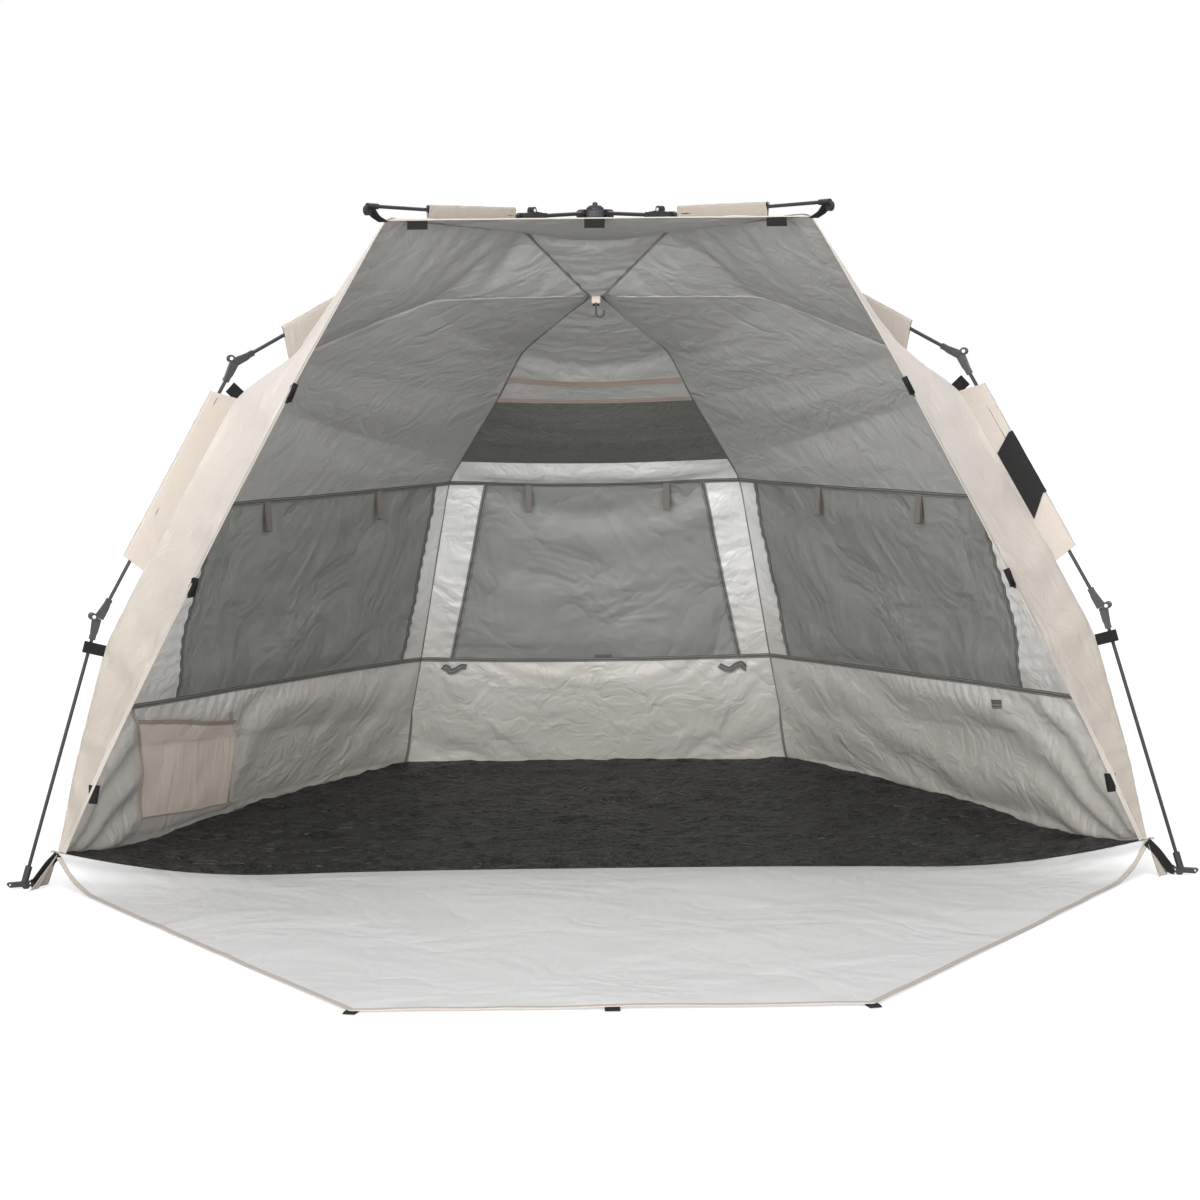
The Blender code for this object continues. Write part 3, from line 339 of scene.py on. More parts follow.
class Tree:
    """Adds the nodes of one node tree and joins them."""

    def __init__(self, tree):
        self.tree = tree

    def feed(self, node, socket, source):
        """Links a socket to another node's output, or sets its plain value."""
        if isinstance(source, bpy.types.NodeSocket):
            self.tree.links.new(source, node.inputs[socket])
        else:
            node.inputs[socket].default_value = source

    def add(self, kind, inputs=(), **settings):
        node = self.tree.nodes.new(kind)
        for name, value in settings.items():
            setattr(node, name, value)
        for socket, source in dict(inputs).items():
            self.feed(node, socket, source)
        return node

    def math(self, operation, *values):
        return self.add("ShaderNodeMath", enumerate(values), operation=operation).outputs[0]

    def mix(self, share, first, second, blend="MIX"):
        inputs = {0: share, 6: first, 7: second}
        return self.add("ShaderNodeMix", inputs, data_type="RGBA", blend_type=blend).outputs[2]

    def noise(self, place, scale, detail, **more):
        inputs = {"Vector": place, "Scale": scale, "Detail": detail, **more}
        return self.add("ShaderNodeTexNoise", inputs).outputs

    def group(self, name, inputs):
        """A shader group's outputs in this tree. The group is built when it is first used."""
        if name not in bpy.data.node_groups:
            GROUP_MAKERS[name](name)
        return self.add("ShaderNodeGroup", inputs, node_tree=bpy.data.node_groups[name]).outputs


COLOUR, NUMBER, PLACE = "NodeSocketColor", "NodeSocketFloat", "NodeSocketVector"
GIVEN_PLACE = ("Place", PLACE, (0, 0, 0))
GIVEN_COLOUR = ("Color", COLOUR, (1, 1, 1, 1))
MADE_COLOUR = ("Color", COLOUR)
MADE_RELIEF = ("Relief", NUMBER)
# The grey that darkens the creases' mottle, which is painted shade of soft folds, and tints the weave where
# threads cross.
FOLD_SHADE_AND_WEAVE_GREY = (0.60, 0.60, 0.60, 1)
RUBBED_GREY = (0.015, 0.015, 0.015, 1)
STITCH_FILL = 0.68
STITCH_THICKNESS = 0.14


def shader_group(name, inputs, outputs):
    """A new shader group with named sockets: its tree, what it is given and the node it fills."""
    group = bpy.data.node_groups.new(name, "ShaderNodeTree")
    for label, kind, value in inputs:
        group.interface.new_socket(label, in_out="INPUT", socket_type=kind).default_value = value
    for label, kind in outputs:
        group.interface.new_socket(label, in_out="OUTPUT", socket_type=kind)
    tree = Tree(group)
    return tree, tree.add("NodeGroupInput").outputs, tree.add("NodeGroupOutput")


def threads_group(name):
    """Plain weave: threads that cross at a spacing, as a tint and a relief."""
    inputs = [GIVEN_PLACE, GIVEN_COLOUR, ("Spacing", NUMBER, 0.001), ("Contrast", NUMBER, 0.1)]
    tree, given, made = shader_group(name, inputs, [MADE_COLOUR, MADE_RELIEF])
    apart = tree.add("ShaderNodeSeparateXYZ", {0: given["Place"]}).outputs
    waves = []
    for axis in (0, 1):
        turns = tree.math("DIVIDE", apart[axis], given["Spacing"])
        waves.append(tree.math("SINE", tree.math("MULTIPLY", turns, 2 * math.pi)))
    crossing = tree.math("MULTIPLY_ADD", tree.math("MULTIPLY", *waves), 0.5, 0.5)
    dark = tree.mix(1.0, given["Color"], FOLD_SHADE_AND_WEAVE_GREY, "MULTIPLY")
    share = tree.math("MULTIPLY", crossing, given["Contrast"])
    tree.feed(made, "Color", tree.mix(share, given["Color"], dark))
    tree.feed(made, "Relief", crossing)


def creases_group(name):
    """Soft creases of handled cloth: a slow mottle, which is painted shade of the folds, and the relief of
    shallow folds.
    """
    inputs = [GIVEN_PLACE, GIVEN_COLOUR, ("Fold", NUMBER, 0.05), ("Mottle", NUMBER, 0.1)]
    tree, given, made = shader_group(name, inputs, [MADE_COLOUR, MADE_RELIEF])
    scale = tree.math("DIVIDE", 1.0, given["Fold"])
    broad = tree.noise(given["Place"], scale, 3.0, Roughness=0.55, Distortion=0.6)["Fac"]
    ridged = tree.math("ABSOLUTE", tree.math("SUBTRACT", broad, 0.5))
    fine = tree.noise(given["Place"], tree.math("MULTIPLY", scale, 4.0), 2.0)["Fac"]
    relief = tree.math("ADD", tree.math("MULTIPLY", ridged, 2.0), tree.math("MULTIPLY", fine, 0.2))
    # Painted shade: the cloth darkens in slow patches that follow the folds' own noise.
    dark = tree.mix(1.0, given["Color"], FOLD_SHADE_AND_WEAVE_GREY, "MULTIPLY")
    share = tree.math("MULTIPLY", broad, given["Mottle"])
    tree.feed(made, "Color", tree.mix(share, given["Color"], dark))
    tree.feed(made, "Relief", relief)


def crinkles_group(name):
    """Crinkled sheet: sharp creases between flat facets, in two sizes."""
    tree, given, made = shader_group(name, [GIVEN_PLACE, ("Facet", NUMBER, 0.05)], [MADE_RELIEF])
    warp = tree.noise(given["Place"], 9.0, 2.0)["Color"]
    moved = tree.add(
        "ShaderNodeVectorMath", {0: given["Place"], 1: warp, 2: given["Place"]}, operation="MULTIPLY_ADD"
    ).outputs[0]
    parts = []
    for step, weight in ((1.0, 0.7), (2.7, 0.3)):
        scale = tree.math("DIVIDE", step, given["Facet"])
        facets = tree.add(
            "ShaderNodeTexVoronoi", {"Vector": moved, "Scale": scale}, feature="F1", distance="MINKOWSKI"
        )
        parts.append(tree.math("MULTIPLY", facets.outputs["Distance"], weight))
    tree.feed(made, "Relief", tree.math("ADD", *parts))


def moulded_group(name):
    """Moulded plastic: a fine grain, and dusty patches that are a little greyer and rougher."""
    tree, given, made = shader_group(
        name, [GIVEN_PLACE, GIVEN_COLOUR, ("Roughness", NUMBER, 0.4), ("Grain", NUMBER, 0.0008)],
        [MADE_COLOUR, ("Roughness", NUMBER), MADE_RELIEF],
    )
    grain = tree.noise(given["Place"], tree.math("DIVIDE", 1.0, given["Grain"]), 2.0)["Fac"]
    dust_and_painted_shade = tree.noise(given["Place"], 60.0, 4.0)["Fac"]
    light = tree.mix(1.0, given["Color"], RUBBED_GREY, "ADD")
    share = tree.math("MULTIPLY", dust_and_painted_shade, 0.35)
    tree.feed(made, "Color", tree.mix(share, given["Color"], light))
    tree.feed(made, "Roughness", tree.math("ADD", given["Roughness"], tree.math("MULTIPLY", dust_and_painted_shade, 0.15)))
    tree.feed(made, "Relief", grain)


def foot_shade_group(name):
    """Painted shade that darkens cloth towards the ground, for the shade low on the walls."""
    dust_and_painted_shade = ("Painted shade tint", COLOUR, (0.7, 0.68, 0.65, 1))
    inputs = [GIVEN_PLACE, GIVEN_COLOUR, dust_and_painted_shade, ("Height", NUMBER, 0.8)]
    tree, given, made = shader_group(name, inputs, [MADE_COLOUR])
    apart = tree.add("ShaderNodeSeparateXYZ", {0: given["Place"]}).outputs
    cloud = tree.noise(given["Place"], 3.0, 3.0)["Fac"]
    wander = tree.math("MULTIPLY", tree.math("SUBTRACT", cloud, 0.5), 0.35)
    rise = tree.math("DIVIDE", tree.math("ADD", apart["Z"], wander), given["Height"])
    reach = {"Value": rise, "From Min": 0.2, "From Max": 1.0, "To Min": 1.0, "To Max": 0.0}
    share = tree.add("ShaderNodeMapRange", reach, interpolation_type="SMOOTHSTEP").outputs["Result"]
    dark = tree.mix(1.0, given["Color"], given["Painted shade tint"], "MULTIPLY")
    tree.feed(made, "Color", tree.mix(share, given["Color"], dark))


def stitches_group(name):
    """Two rows of stitches along a strip's edges, on a UV map that runs along the strip."""
    tree, given, made = shader_group(
        name,
        [GIVEN_PLACE, GIVEN_COLOUR, ("Thread", COLOUR, (1, 1, 1, 1)), ("Width", NUMBER, 0.01),
         ("Inset", NUMBER, 0.002), ("Stitch", NUMBER, 0.004)],
        [MADE_COLOUR, MADE_RELIEF],
    )
    apart = tree.add("ShaderNodeSeparateXYZ", {0: given["Place"]}).outputs
    half = tree.math("MULTIPLY", given["Width"], 0.5)
    from_middle = tree.math("ABSOLUTE", tree.math("SUBTRACT", apart["Y"], half))
    row = tree.math("SUBTRACT", half, given["Inset"])
    from_row = tree.math("ABSOLUTE", tree.math("SUBTRACT", from_middle, row))
    on_row = tree.math("LESS_THAN", from_row, tree.math("MULTIPLY", given["Stitch"], STITCH_THICKNESS))
    turns = tree.math("DIVIDE", apart["X"], given["Stitch"])
    on_stitch = tree.math("LESS_THAN", tree.math("FRACT", turns), STITCH_FILL)
    stitch = tree.math("MULTIPLY", on_row, on_stitch)
    tree.feed(made, "Color", tree.mix(stitch, given["Color"], given["Thread"]))
    tree.feed(made, "Relief", stitch)


GROUP_MAKERS = {
    "Woven threads": threads_group,
    "Handled creases": creases_group,
    "Crinkled sheet": crinkles_group,
    "Moulded plastic": moulded_group,
    "Stitch rows": stitches_group,
    # Painted shade that darkens cloth towards the ground
    "Dusty foot": foot_shade_group,
}


def blank_material(name, sockets):
    """A material with one Principled shader, whose plain sockets are set directly."""
    made = bpy.data.materials.new(name)
    made.use_nodes = True
    shader = made.node_tree.nodes["Principled BSDF"]
    for socket, value in sockets.items():
        shader.inputs[socket].default_value = value
    return made, Tree(made.node_tree), shader


def bump(tree, shader, height, distance, strength=1.0, under=None):
    node = tree.add("ShaderNodeBump", {"Height": height, "Distance": distance, "Strength": strength})
    if under is not None:
        tree.feed(node, "Normal", under)
    tree.feed(shader, "Normal", node.outputs["Normal"])
    return node.outputs["Normal"]


class Fabric(NamedTuple):
    """A cloth's colour, its creases' size, mottle, weave and creases' depth, and plain shader values.

    A stitched one names the size that its width follows. One with painted shade towards the ground has its
    tint and the height that the shade reaches.
    """

    colour: str
    fold: float
    mottle: float
    weave: float
    depth: float
    sockets: dict
    stitched: str = None
    # Tint and height of the painted shade towards the ground
    dust_and_painted_shade: tuple = None


SATIN = {"Roughness": 0.48, "Metallic": 0.15}
FABRICS = {
    # The shell and the lining darken towards the ground: painted shade low on the walls.
    "shell_cloth": Fabric(
        "shell", 0.11, 0.10, 0.25, 0.004, {"Roughness": 0.72, "Sheen Weight": 0.15},
        dust_and_painted_shade=((0.60, 0.58, 0.55), 1.3),
    ),
    "lining_cloth": Fabric("lining", 0.10, 0.22, 0.12, 0.007, SATIN, dust_and_painted_shade=((0.66, 0.63, 0.60), 0.62)),
    # Painted shade: the roof's lining is a darker copy of the walls' silver cloth.
    "roof_cloth": Fabric("roof", 0.12, 0.22, 0.12, 0.007, SATIN),
    # Painted shade: the sleeves are a darker copy of the shell's cloth.
    "sleeve_cloth": Fabric("sleeve", 0.08, 0.15, 0.25, 0.003, {"Roughness": 0.72}),
    "porch_cloth": Fabric("porch", 0.34, 0.18, 0.12, 0.007, {"Roughness": 0.38, "Metallic": 0.15}),
    "porch_underside": Fabric("sleeve", 0.20, 0.18, 0.25, 0.004, {"Roughness": 0.7}),
    "tape_cloth": Fabric("tape", 0.05, 0.2, 0.5, 0.001, {"Roughness": 0.75}, stitched="tape_width"),
    "seam_cloth": Fabric("tape", 0.05, 0.2, 0.5, 0.001, {"Roughness": 0.7}, stitched="seam_width"),
    "tan_cloth": Fabric("tan", 0.05, 0.2, 0.5, 0.001, {"Roughness": 0.75}, stitched="tape_width"),
    "binding_cloth": Fabric("sleeve", 0.03, 0.2, 0.4, 0.001, {"Roughness": 0.7}, stitched="binding_width"),
    "ridge_cloth": Fabric("rope", 0.03, 0.3, 0.6, 0.001, {"Roughness": 0.6}),
    "pocket_cloth": Fabric("pocket", 0.07, 0.2, 0.3, 0.004, {"Roughness": 0.65}),
    "strap_cloth": Fabric("strap", 0.03, 0.3, 0.6, 0.0006, {"Roughness": 0.7}),
    "webbing_cloth": Fabric(
        "webbing", 0.03, 0.2, 0.7, 0.0005, {"Roughness": 0.9, "Specular IOR Level": 0.25}
    ),
    "label_cloth": Fabric(
        "webbing", 0.04, 0.2, 0.4, 0.0005, {"Roughness": 0.8, "Specular IOR Level": 0.25}
    ),
    # The mesh's strong mottle is painted shade of its long soft folds.
    "mesh_cloth": Fabric("mesh", 0.22, 0.9, 0.5, 0.020, {"Roughness": 0.5, "Alpha": 0.75}),
    "vent_cloth": Fabric("vent", 0.03, 0.6, 0.7, 0.004, {"Roughness": 0.6, "Alpha": 0.93}),
}


def cloth(name):
    """A fabric's material: handled creases under a plain weave, on the piece's UV map in metres."""
    if name in bpy.data.materials:
        return bpy.data.materials[name]
    fabric = FABRICS[name]
    made, tree, shader = blank_material(name, fabric.sockets)
    place = tree.add("ShaderNodeUVMap", uv_map="cloth").outputs["UV"]
    colour = (*getattr(colours(), fabric.colour), 1)
    creased = tree.group(
        "Handled creases", {"Place": place, "Color": colour, "Fold": fabric.fold, "Mottle": fabric.mottle}
    )
    thread = sizes().thread
    woven = tree.group(
        "Woven threads",
        {"Place": place, "Color": creased["Color"], "Spacing": thread, "Contrast": fabric.weave},
    )
    under = bump(tree, shader, creased["Relief"], fabric.depth)
    under = bump(tree, shader, woven["Relief"], thread / 6, 0.5, under)
    colour = woven["Color"]
    if fabric.stitched:
        width, stitching = getattr(sizes(), fabric.stitched), (*colours().thread, 1)
        stitches = tree.group(
            "Stitch rows",
            {"Place": place, "Color": colour, "Thread": stitching, "Width": width, "Inset": width / 5},
        )
        colour = stitches["Color"]
        bump(tree, shader, stitches["Relief"], STITCH_HEIGHT, 0.8, under)
    # Painted shade: the colour darkens towards the ground.
    if fabric.dust_and_painted_shade:
        tint, height = fabric.dust_and_painted_shade
        high = tree.add("ShaderNodeTexCoord").outputs["Object"]
        inputs = {"Place": high, "Color": colour, "Painted shade tint": (*tint, 1), "Height": height}
        colour = tree.group("Dusty foot", inputs)["Color"]
    tree.feed(shader, "Base Color", colour)
    return made


def groundsheet():
    """Dark groundsheet with sharp crinkles and a dull gloss."""
    if "ground_cloth" in bpy.data.materials:
        return bpy.data.materials["ground_cloth"]
    made, tree, shader = blank_material("ground_cloth", {"Roughness": 0.45, "Specular IOR Level": 0.28})
    place = tree.add("ShaderNodeUVMap", uv_map="cloth").outputs["UV"]
    inputs = {"Place": place, "Color": (*colours().ground, 1), "Fold": 0.2, "Mottle": 0.4}
    tree.feed(shader, "Base Color", tree.group("Handled creases", inputs)["Color"])
    crinkled = tree.group("Crinkled sheet", {"Place": place, "Facet": GROUND_FACET})
    bump(tree, shader, crinkled["Relief"], GROUND_RELIEF)
    return made


def hard_material(name, colour, roughness, grain):
    """Moulded black plastic, or a coated rod, on Object coordinates."""
    if name in bpy.data.materials:
        return bpy.data.materials[name]
    made, tree, shader = blank_material(name, {"Specular IOR Level": 0.3})
    place = tree.add("ShaderNodeTexCoord").outputs["Object"]
    inputs = {"Place": place, "Color": (*colour, 1), "Roughness": roughness, "Grain": grain}
    moulded = tree.group("Moulded plastic", inputs)
    tree.feed(shader, "Base Color", moulded["Color"])
    tree.feed(shader, "Roughness", moulded["Roughness"])
    bump(tree, shader, moulded["Relief"], 0.0001, 0.4)
    return made


def moulded_plastic():
    return hard_material("moulded_plastic", colours().plastic, 0.38, 0.0008)


def webbing_plain():
    return hard_material("webbing_plain", colours().webbing, 0.8, 0.0012)


def rod_coating():
    return hard_material("rod_coating", colours().rod, 0.28, 0.002)


def rivet_steel():
    return hard_material("rivet_steel", RIVET_GREY, 0.3, 0.002)


# Poles, seams and panels

UP = Vector((0, 0, 1))
LEG_LINKS = ("arm", "upper", "mid", "lower")
SEAM_STEP = 0.010
SEAM_SOFTENING = 14
ROUNDING = 160
FLOOR_TOP = SHEET + SEAM_GAP


def node_points(name):
    return [vertex.co.copy() for vertex in frame["nodes"][name].data.vertices]


def between(low, high, share):
    return low + (high - low) * share


def read(table, place):
    """A table's value at a place between two of its entries."""
    first = min(max(int(place), 0), len(table) - 2)
    return between(table[first], table[first + 1], place - first)


def softened(points, passes):
    """A line of points with its corners rounded and its ends kept."""
    for _ in range(passes):
        inner = [(a + 2 * b + c) / 4 for a, b, c in zip(points, points[1:], points[2:])]
        points = [points[0]] + inner + [points[-1]]
    return points


class Pole:
    """One unfolded pole: its pins, from the joints, and places set in from their line."""

    def __init__(self, name):
        turns = [f"{link}_{name}_turn" for link in LEG_LINKS]
        last = "lower_rod_" + name
        if name.startswith("awning"):
            turns = [f"arm_{name}_turn", f"{name}_turn"]
            last = name.replace("awning", "awning_rod")
        self.bodies = [turn.removesuffix("_turn") for turn in turns]
        self.pins = [Vector(JOINTS[turn]["pos_m"]) for turn in turns]
        self.across = Vector(JOINTS[turns[0]]["axis"])
        self.radial = UP.cross(self.across)
        self.side = 1 if self.radial.x > 0 else -1
        points = sorted(node_points(last), key=lambda point: (point - self.pins[-1]).length)
        far = [point for point in points if (point - points[-1]).length < 2 * ROD_RADIUS + CLOTH]
        end = sum(far, Vector()) / len(far)
        self.pins.append(end - self.across * end.dot(self.across))

    def point(self, section, share, inset):
        start, end = self.pins[section], self.pins[section + 1]
        along = (end - start).normalized()
        inward = self.radial * along.z - UP * along.dot(self.radial)
        return start.lerp(end, share) + inset * inward

    def top(self):
        return self.radial * APEX_RADIUS + UP * (self.pins[0].z - APEX_DROP)


class Seam:
    """A smooth line through a row of stations, read at any place between them."""

    def __init__(self, stations, softening=SEAM_SOFTENING):
        self.places = [0.0]
        for here, there in zip(stations, stations[1:]):
            self.places.append(self.places[-1] + (there - here).length)
        count = math.ceil(self.places[-1] / SEAM_STEP)
        self.step = self.places[-1] / count
        line = [self.straight(stations, k * self.step) for k in range(count + 1)]
        self.points = softened(line, softening)
        self.rounded = softened(self.points, ROUNDING)

    def straight(self, stations, distance):
        for k, (low, high) in enumerate(zip(self.places, self.places[1:])):
            if distance <= high or high == self.places[-1]:
                return stations[k].lerp(stations[k + 1], (distance - low) / (high - low))

    def at(self, row, rounding=0.0):
        place = read(self.places, row) / self.step
        point = read(self.points, place)
        return point.lerp(read(self.rounded, place), rounding) if rounding else point


def side_seam(pole):
    return [pole.top()] + [pole.point(*station) for station in SIDE_STATION_SHARES]


def rear_seam(pole):
    reach, height = pole.pins[4].dot(pole.radial), pole.pins[0].z
    places = [(reach * far, max(height * high, FLOOR_TOP)) for far, high in REAR_STATION_SHARES]
    return [pole.top()] + [pole.radial * far + UP * high for far, high in places]


def front_seam(pole, corner):
    """Under the awning pole to the canopy's front corner, then down the hem to the floor's corner."""
    knee = pole.point(1, FRONT_KNEE_SHARE, FRONT_KNEE_INSET)
    front = pole.point(1, FRONT_CORNER_SHARE, FRONT_CORNER_INSET)
    end = corner - Vector((pole.side * HEM_CORNER_INSET, HEM_CORNER_FORWARD, 0))
    hem = []
    for share in HEM_SHARES:
        bow = HEM_BOW * math.sqrt(math.sin(math.pi * share)) if 0 < share < 1 else 0
        hem.append(front.lerp(end, share) + Vector((pole.side * bow, 0, 0)))
    return [pole.top(), knee] + hem


class Panel:
    """A sheet sewn between two seams: a grid of places that settles, and that trim is placed on."""

    def __init__(self, name, first, second, tops, bottoms=None, bulges=(0, 0), outward=1, last=LAST_ROW):
        self.name, self.first, self.second = name, first, second
        self.tops, self.bottoms, self.bulges = tops, bottoms or tops, bulges
        self.outward, self.last = outward, last
        self.raised = len(bulges) > 2
        cell = sizes().cell
        self.rows = self.spaced(range(last), lambda k: max(self.gap(k, 0), self.gap(k, len(tops) - 1)), cell)
        widths = [self.width(k, range(last + 1)) for k in range(len(tops) - 1)]
        self.columns = self.spaced(range(len(tops) - 1), lambda k: widths[k], cell)
        self.grid = [[self.place(row, column) for column in self.columns] for row in self.rows]

    @staticmethod
    def spaced(stations, length, cell):
        """Places between whole stations, about one cell apart."""
        places = []
        for k in stations:
            count = max(1, round(length(k) / cell))
            places += [k + n / count for n in range(count)]
        return places + [stations[-1] + 1]

    def gap(self, row, column):
        return (self.place(row + 1, column) - self.place(row, column)).length

    def width(self, column, rows):
        return max((self.place(row, column + 1) - self.place(row, column)).length for row in rows)

    def place(self, row, column):
        middle = read(self.tops, column)
        rounding = 4 * middle * (1 - middle) * max(0, 1 - abs(row - 1)) ** 0.5
        first, second = self.first.at(row, rounding), self.second.at(row, rounding)
        weight = (row - WINDOW_TOP_ROW) / (WINDOW_BOTTOM_ROW - WINDOW_TOP_ROW)
        share = between(read(self.tops, column), read(self.bottoms, column), min(max(weight, 0), 1))
        chord = second - first
        out = Vector((chord.y, -chord.x, 0)).normalized() * self.outward
        point = first.lerp(second, share)
        if self.raised:
            point += 4 * share * (1 - share) * WALL_BULGE * read(self.bulges, row) * out
            level = (self.first.at(LAST_ROW).z - FLOOR_TOP) * max(0, 1 - share / CORNER_RAISE_SHARE) ** 2
            point.z += (FLOOR_TOP + level - point.z) * max(0, row - LAST_ROW + 1)
        return point

    def settle(self, slack, most, seed):
        """Lets the sheet, cut a little longer than its seams, buckle into folds between them."""
        rows, columns = len(self.grid), len(self.grid[0])
        starts = [place for line in self.grid for place in line]
        outs = [out for line in self.grid_normals() for out in line]
        points = []
        for place, out in zip(starts, outs):
            ripple = noise.noise(place * RIPPLE_SCALE + Vector((seed, 0, 0)))
            points.append(place + out * RIPPLE_DEPTH * ripple)
        edge = [
            n for n in range(rows * columns)
            if n // columns in (0, rows - 1) or n % columns in (0, columns - 1)
        ]
        for n in edge:
            points[n] = starts[n]
        sheet = piece_from("settling", points, grid_faces(rows - 1, columns - 1))
        sewn = sheet.vertex_groups.new(name="sewn")
        sewn.add(edge, 1.0, "REPLACE")
        modifier = sheet.modifiers.new("Cloth", "CLOTH")
        settings = modifier.settings
        settings.vertex_group_mass = "sewn"
        settings.quality = 5
        settings.mass = 0.12
        settings.tension_stiffness = settings.compression_stiffness = 18
        settings.shear_stiffness = 6
        settings.bending_stiffness = 0.8
        settings.shrink_min = -slack
        settings.effector_weights.gravity = 0.35
        modifier.point_cache.frame_end = sizes().settle_frames
        for step in range(1, sizes().settle_frames + 1):
            bpy.context.scene.frame_set(step)
        select_only(sheet)
        bpy.ops.object.modifier_apply(modifier="Cloth")
        moves = [vertex.co - place for vertex, place in zip(sheet.data.vertices, starts)]
        scale = min(1, most / max(move.length for move in moves))
        for n, move in enumerate(moves):
            held = tape_hold(self.rows[n // columns]) if self.last == LAST_ROW else 1
            self.grid[n // columns][n % columns] += move * scale * held
        bpy.data.objects.remove(sheet)
        bpy.context.scene.frame_set(1)

    def refine(self):
        """Doubles the grid with a smooth curve through its places."""
        self.grid = [doubled(row) for row in self.grid]
        self.grid = [list(row) for row in zip(*[doubled(list(column)) for column in zip(*self.grid)])]
        self.rows, self.columns = halved(self.rows), halved(self.columns)
        self.normals = self.grid_normals()

    def crease(self):
        """Adds the folds of a sheet that is pulled at its corners and gathered at its tapes."""
        rows, columns = len(self.grid), len(self.grid[0])
        corner = self.grid[-1][0]
        wall = self.name.startswith("side")
        for i in range(1, rows - 1):
            for k in range(1, columns - 1):
                point, row, column = self.grid[i][k], self.rows[i], self.columns[k]
                inner = min(1, min(i, rows - 1 - i, k, columns - 1 - k) / EDGE_CELLS) * tape_hold(row)
                depth = soft_folds(point) if self.last == LAST_ROW else 0.5 * soft_folds(point)
                if wall and row > WINDOW_BOTTOM_ROW:
                    depth += corner_folds(point, corner, row)
                if self.name == "side_left":
                    depth *= 1 - 0.9 * under_pocket(row, column)
                if self.raised or self.name == "rear":
                    depth += gathers(point, row, column, self.columns[-1])
                self.grid[i][k] = point + self.normals[i][k] * depth * inner
        self.normals = self.grid_normals()

    def grid_normals(self):
        """Unit normals of the grid, away from the tent's inside."""
        rows, columns = len(self.grid), len(self.grid[0])
        normals = []
        for i in range(rows):
            line = []
            for k in range(columns):
                down = self.grid[min(i + 1, rows - 1)][k] - self.grid[max(i - 1, 0)][k]
                side = self.grid[i][min(k + 1, columns - 1)] - self.grid[i][max(k - 1, 0)]
                line.append(side.cross(-down).normalized() * self.outward)
            normals.append(line)
        return normals

    def locate(self, row, column):
        i = min(max(bisect.bisect_right(self.rows, row) - 1, 0), len(self.rows) - 2)
        k = min(max(bisect.bisect_right(self.columns, column) - 1, 0), len(self.columns) - 2)
        down = (row - self.rows[i]) / (self.rows[i + 1] - self.rows[i])
        side = (column - self.columns[k]) / (self.columns[k + 1] - self.columns[k])
        return i, k, down, side

    def at(self, row, column, lift=0.0):
        """The sheet's place at a row and column, lifted outwards by a distance."""
        i, k, down, side = self.locate(row, column)
        upper = self.grid[i][k].lerp(self.grid[i][k + 1], side)
        lower = self.grid[i + 1][k].lerp(self.grid[i + 1][k + 1], side)
        return upper.lerp(lower, down) + self.out(row, column) * lift

    def out(self, row, column):
        i, k, down, side = self.locate(row, column)
        upper = self.normals[i][k].lerp(self.normals[i][k + 1], side)
        lower = self.normals[i + 1][k].lerp(self.normals[i + 1][k + 1], side)
        return upper.lerp(lower, down).normalized()

    def line(self, start, end, lift=0.0, step=0.010):
        """Places and outward directions along a line between two (row, column) pairs."""
        count = max(2, round((self.at(*end) - self.at(*start)).length / step))
        shares = [n / count for n in range(count + 1)]
        path = [(between(start[0], end[0], share), between(start[1], end[1], share)) for share in shares]
        return [self.at(*place, lift) for place in path], [self.out(*place) for place in path]


def tape_hold(row):
    """How freely the cloth moves at a row: less beside the tapes, which keep their lines straight."""
    near = min(abs(row - tape) for tape in (VENT_TOP_ROW, VENT_BOTTOM_ROW, WINDOW_TOP_ROW, WINDOW_BOTTOM_ROW))
    return between(TAPE_HOLD, 1, min(1, near / TAPE_HOLD_ROWS))


def soft_folds(point):
    """Broad, shallow folds, longer across than down."""
    broad = noise.noise(Vector((point.x * 2.2, point.y * 2.2, point.z * 5.0)))
    fine = noise.noise(Vector((point.x * 6, point.y * 6, point.z * 13)) + UP * 5)
    return FOLD_DEPTH * (broad + 0.45 * fine)


def corner_folds(point, corner, row):
    """Long folds that fan out from the floor's raised corner to the window's lower edge."""
    reach = Vector((point.x - corner.x, point.y - corner.y)).length
    turn = math.atan2(point.z - corner.z + 0.10, reach + 0.08)
    wander = CORNER_FOLD_WANDER * noise.noise(point * 2.6)
    held = min(1, (row - WINDOW_BOTTOM_ROW) / 0.25) * min(1, (LAST_ROW - row) / 0.25)
    wave = math.sin(turn * CORNER_FOLD_TURNS + wander)
    return CORNER_FOLD_DEPTH * wave * held * min(1, reach / 0.25)


def under_pocket(row, column):
    """How firmly the pocket's seams hold the wall flat at a place, from 0 to 1."""
    top_left, top_right, bottom_left, bottom_right = POCKET_CORNERS
    down = (row - top_left[0]) / (bottom_left[0] - top_left[0])
    left, right = between(top_left[1], bottom_left[1], down), between(top_right[1], bottom_right[1], down)
    inside = min(column - left + 0.12, right - column + 0.12, row - top_left[0] + 0.05, 8.85 - row)
    return min(1, max(0, inside / 0.15))


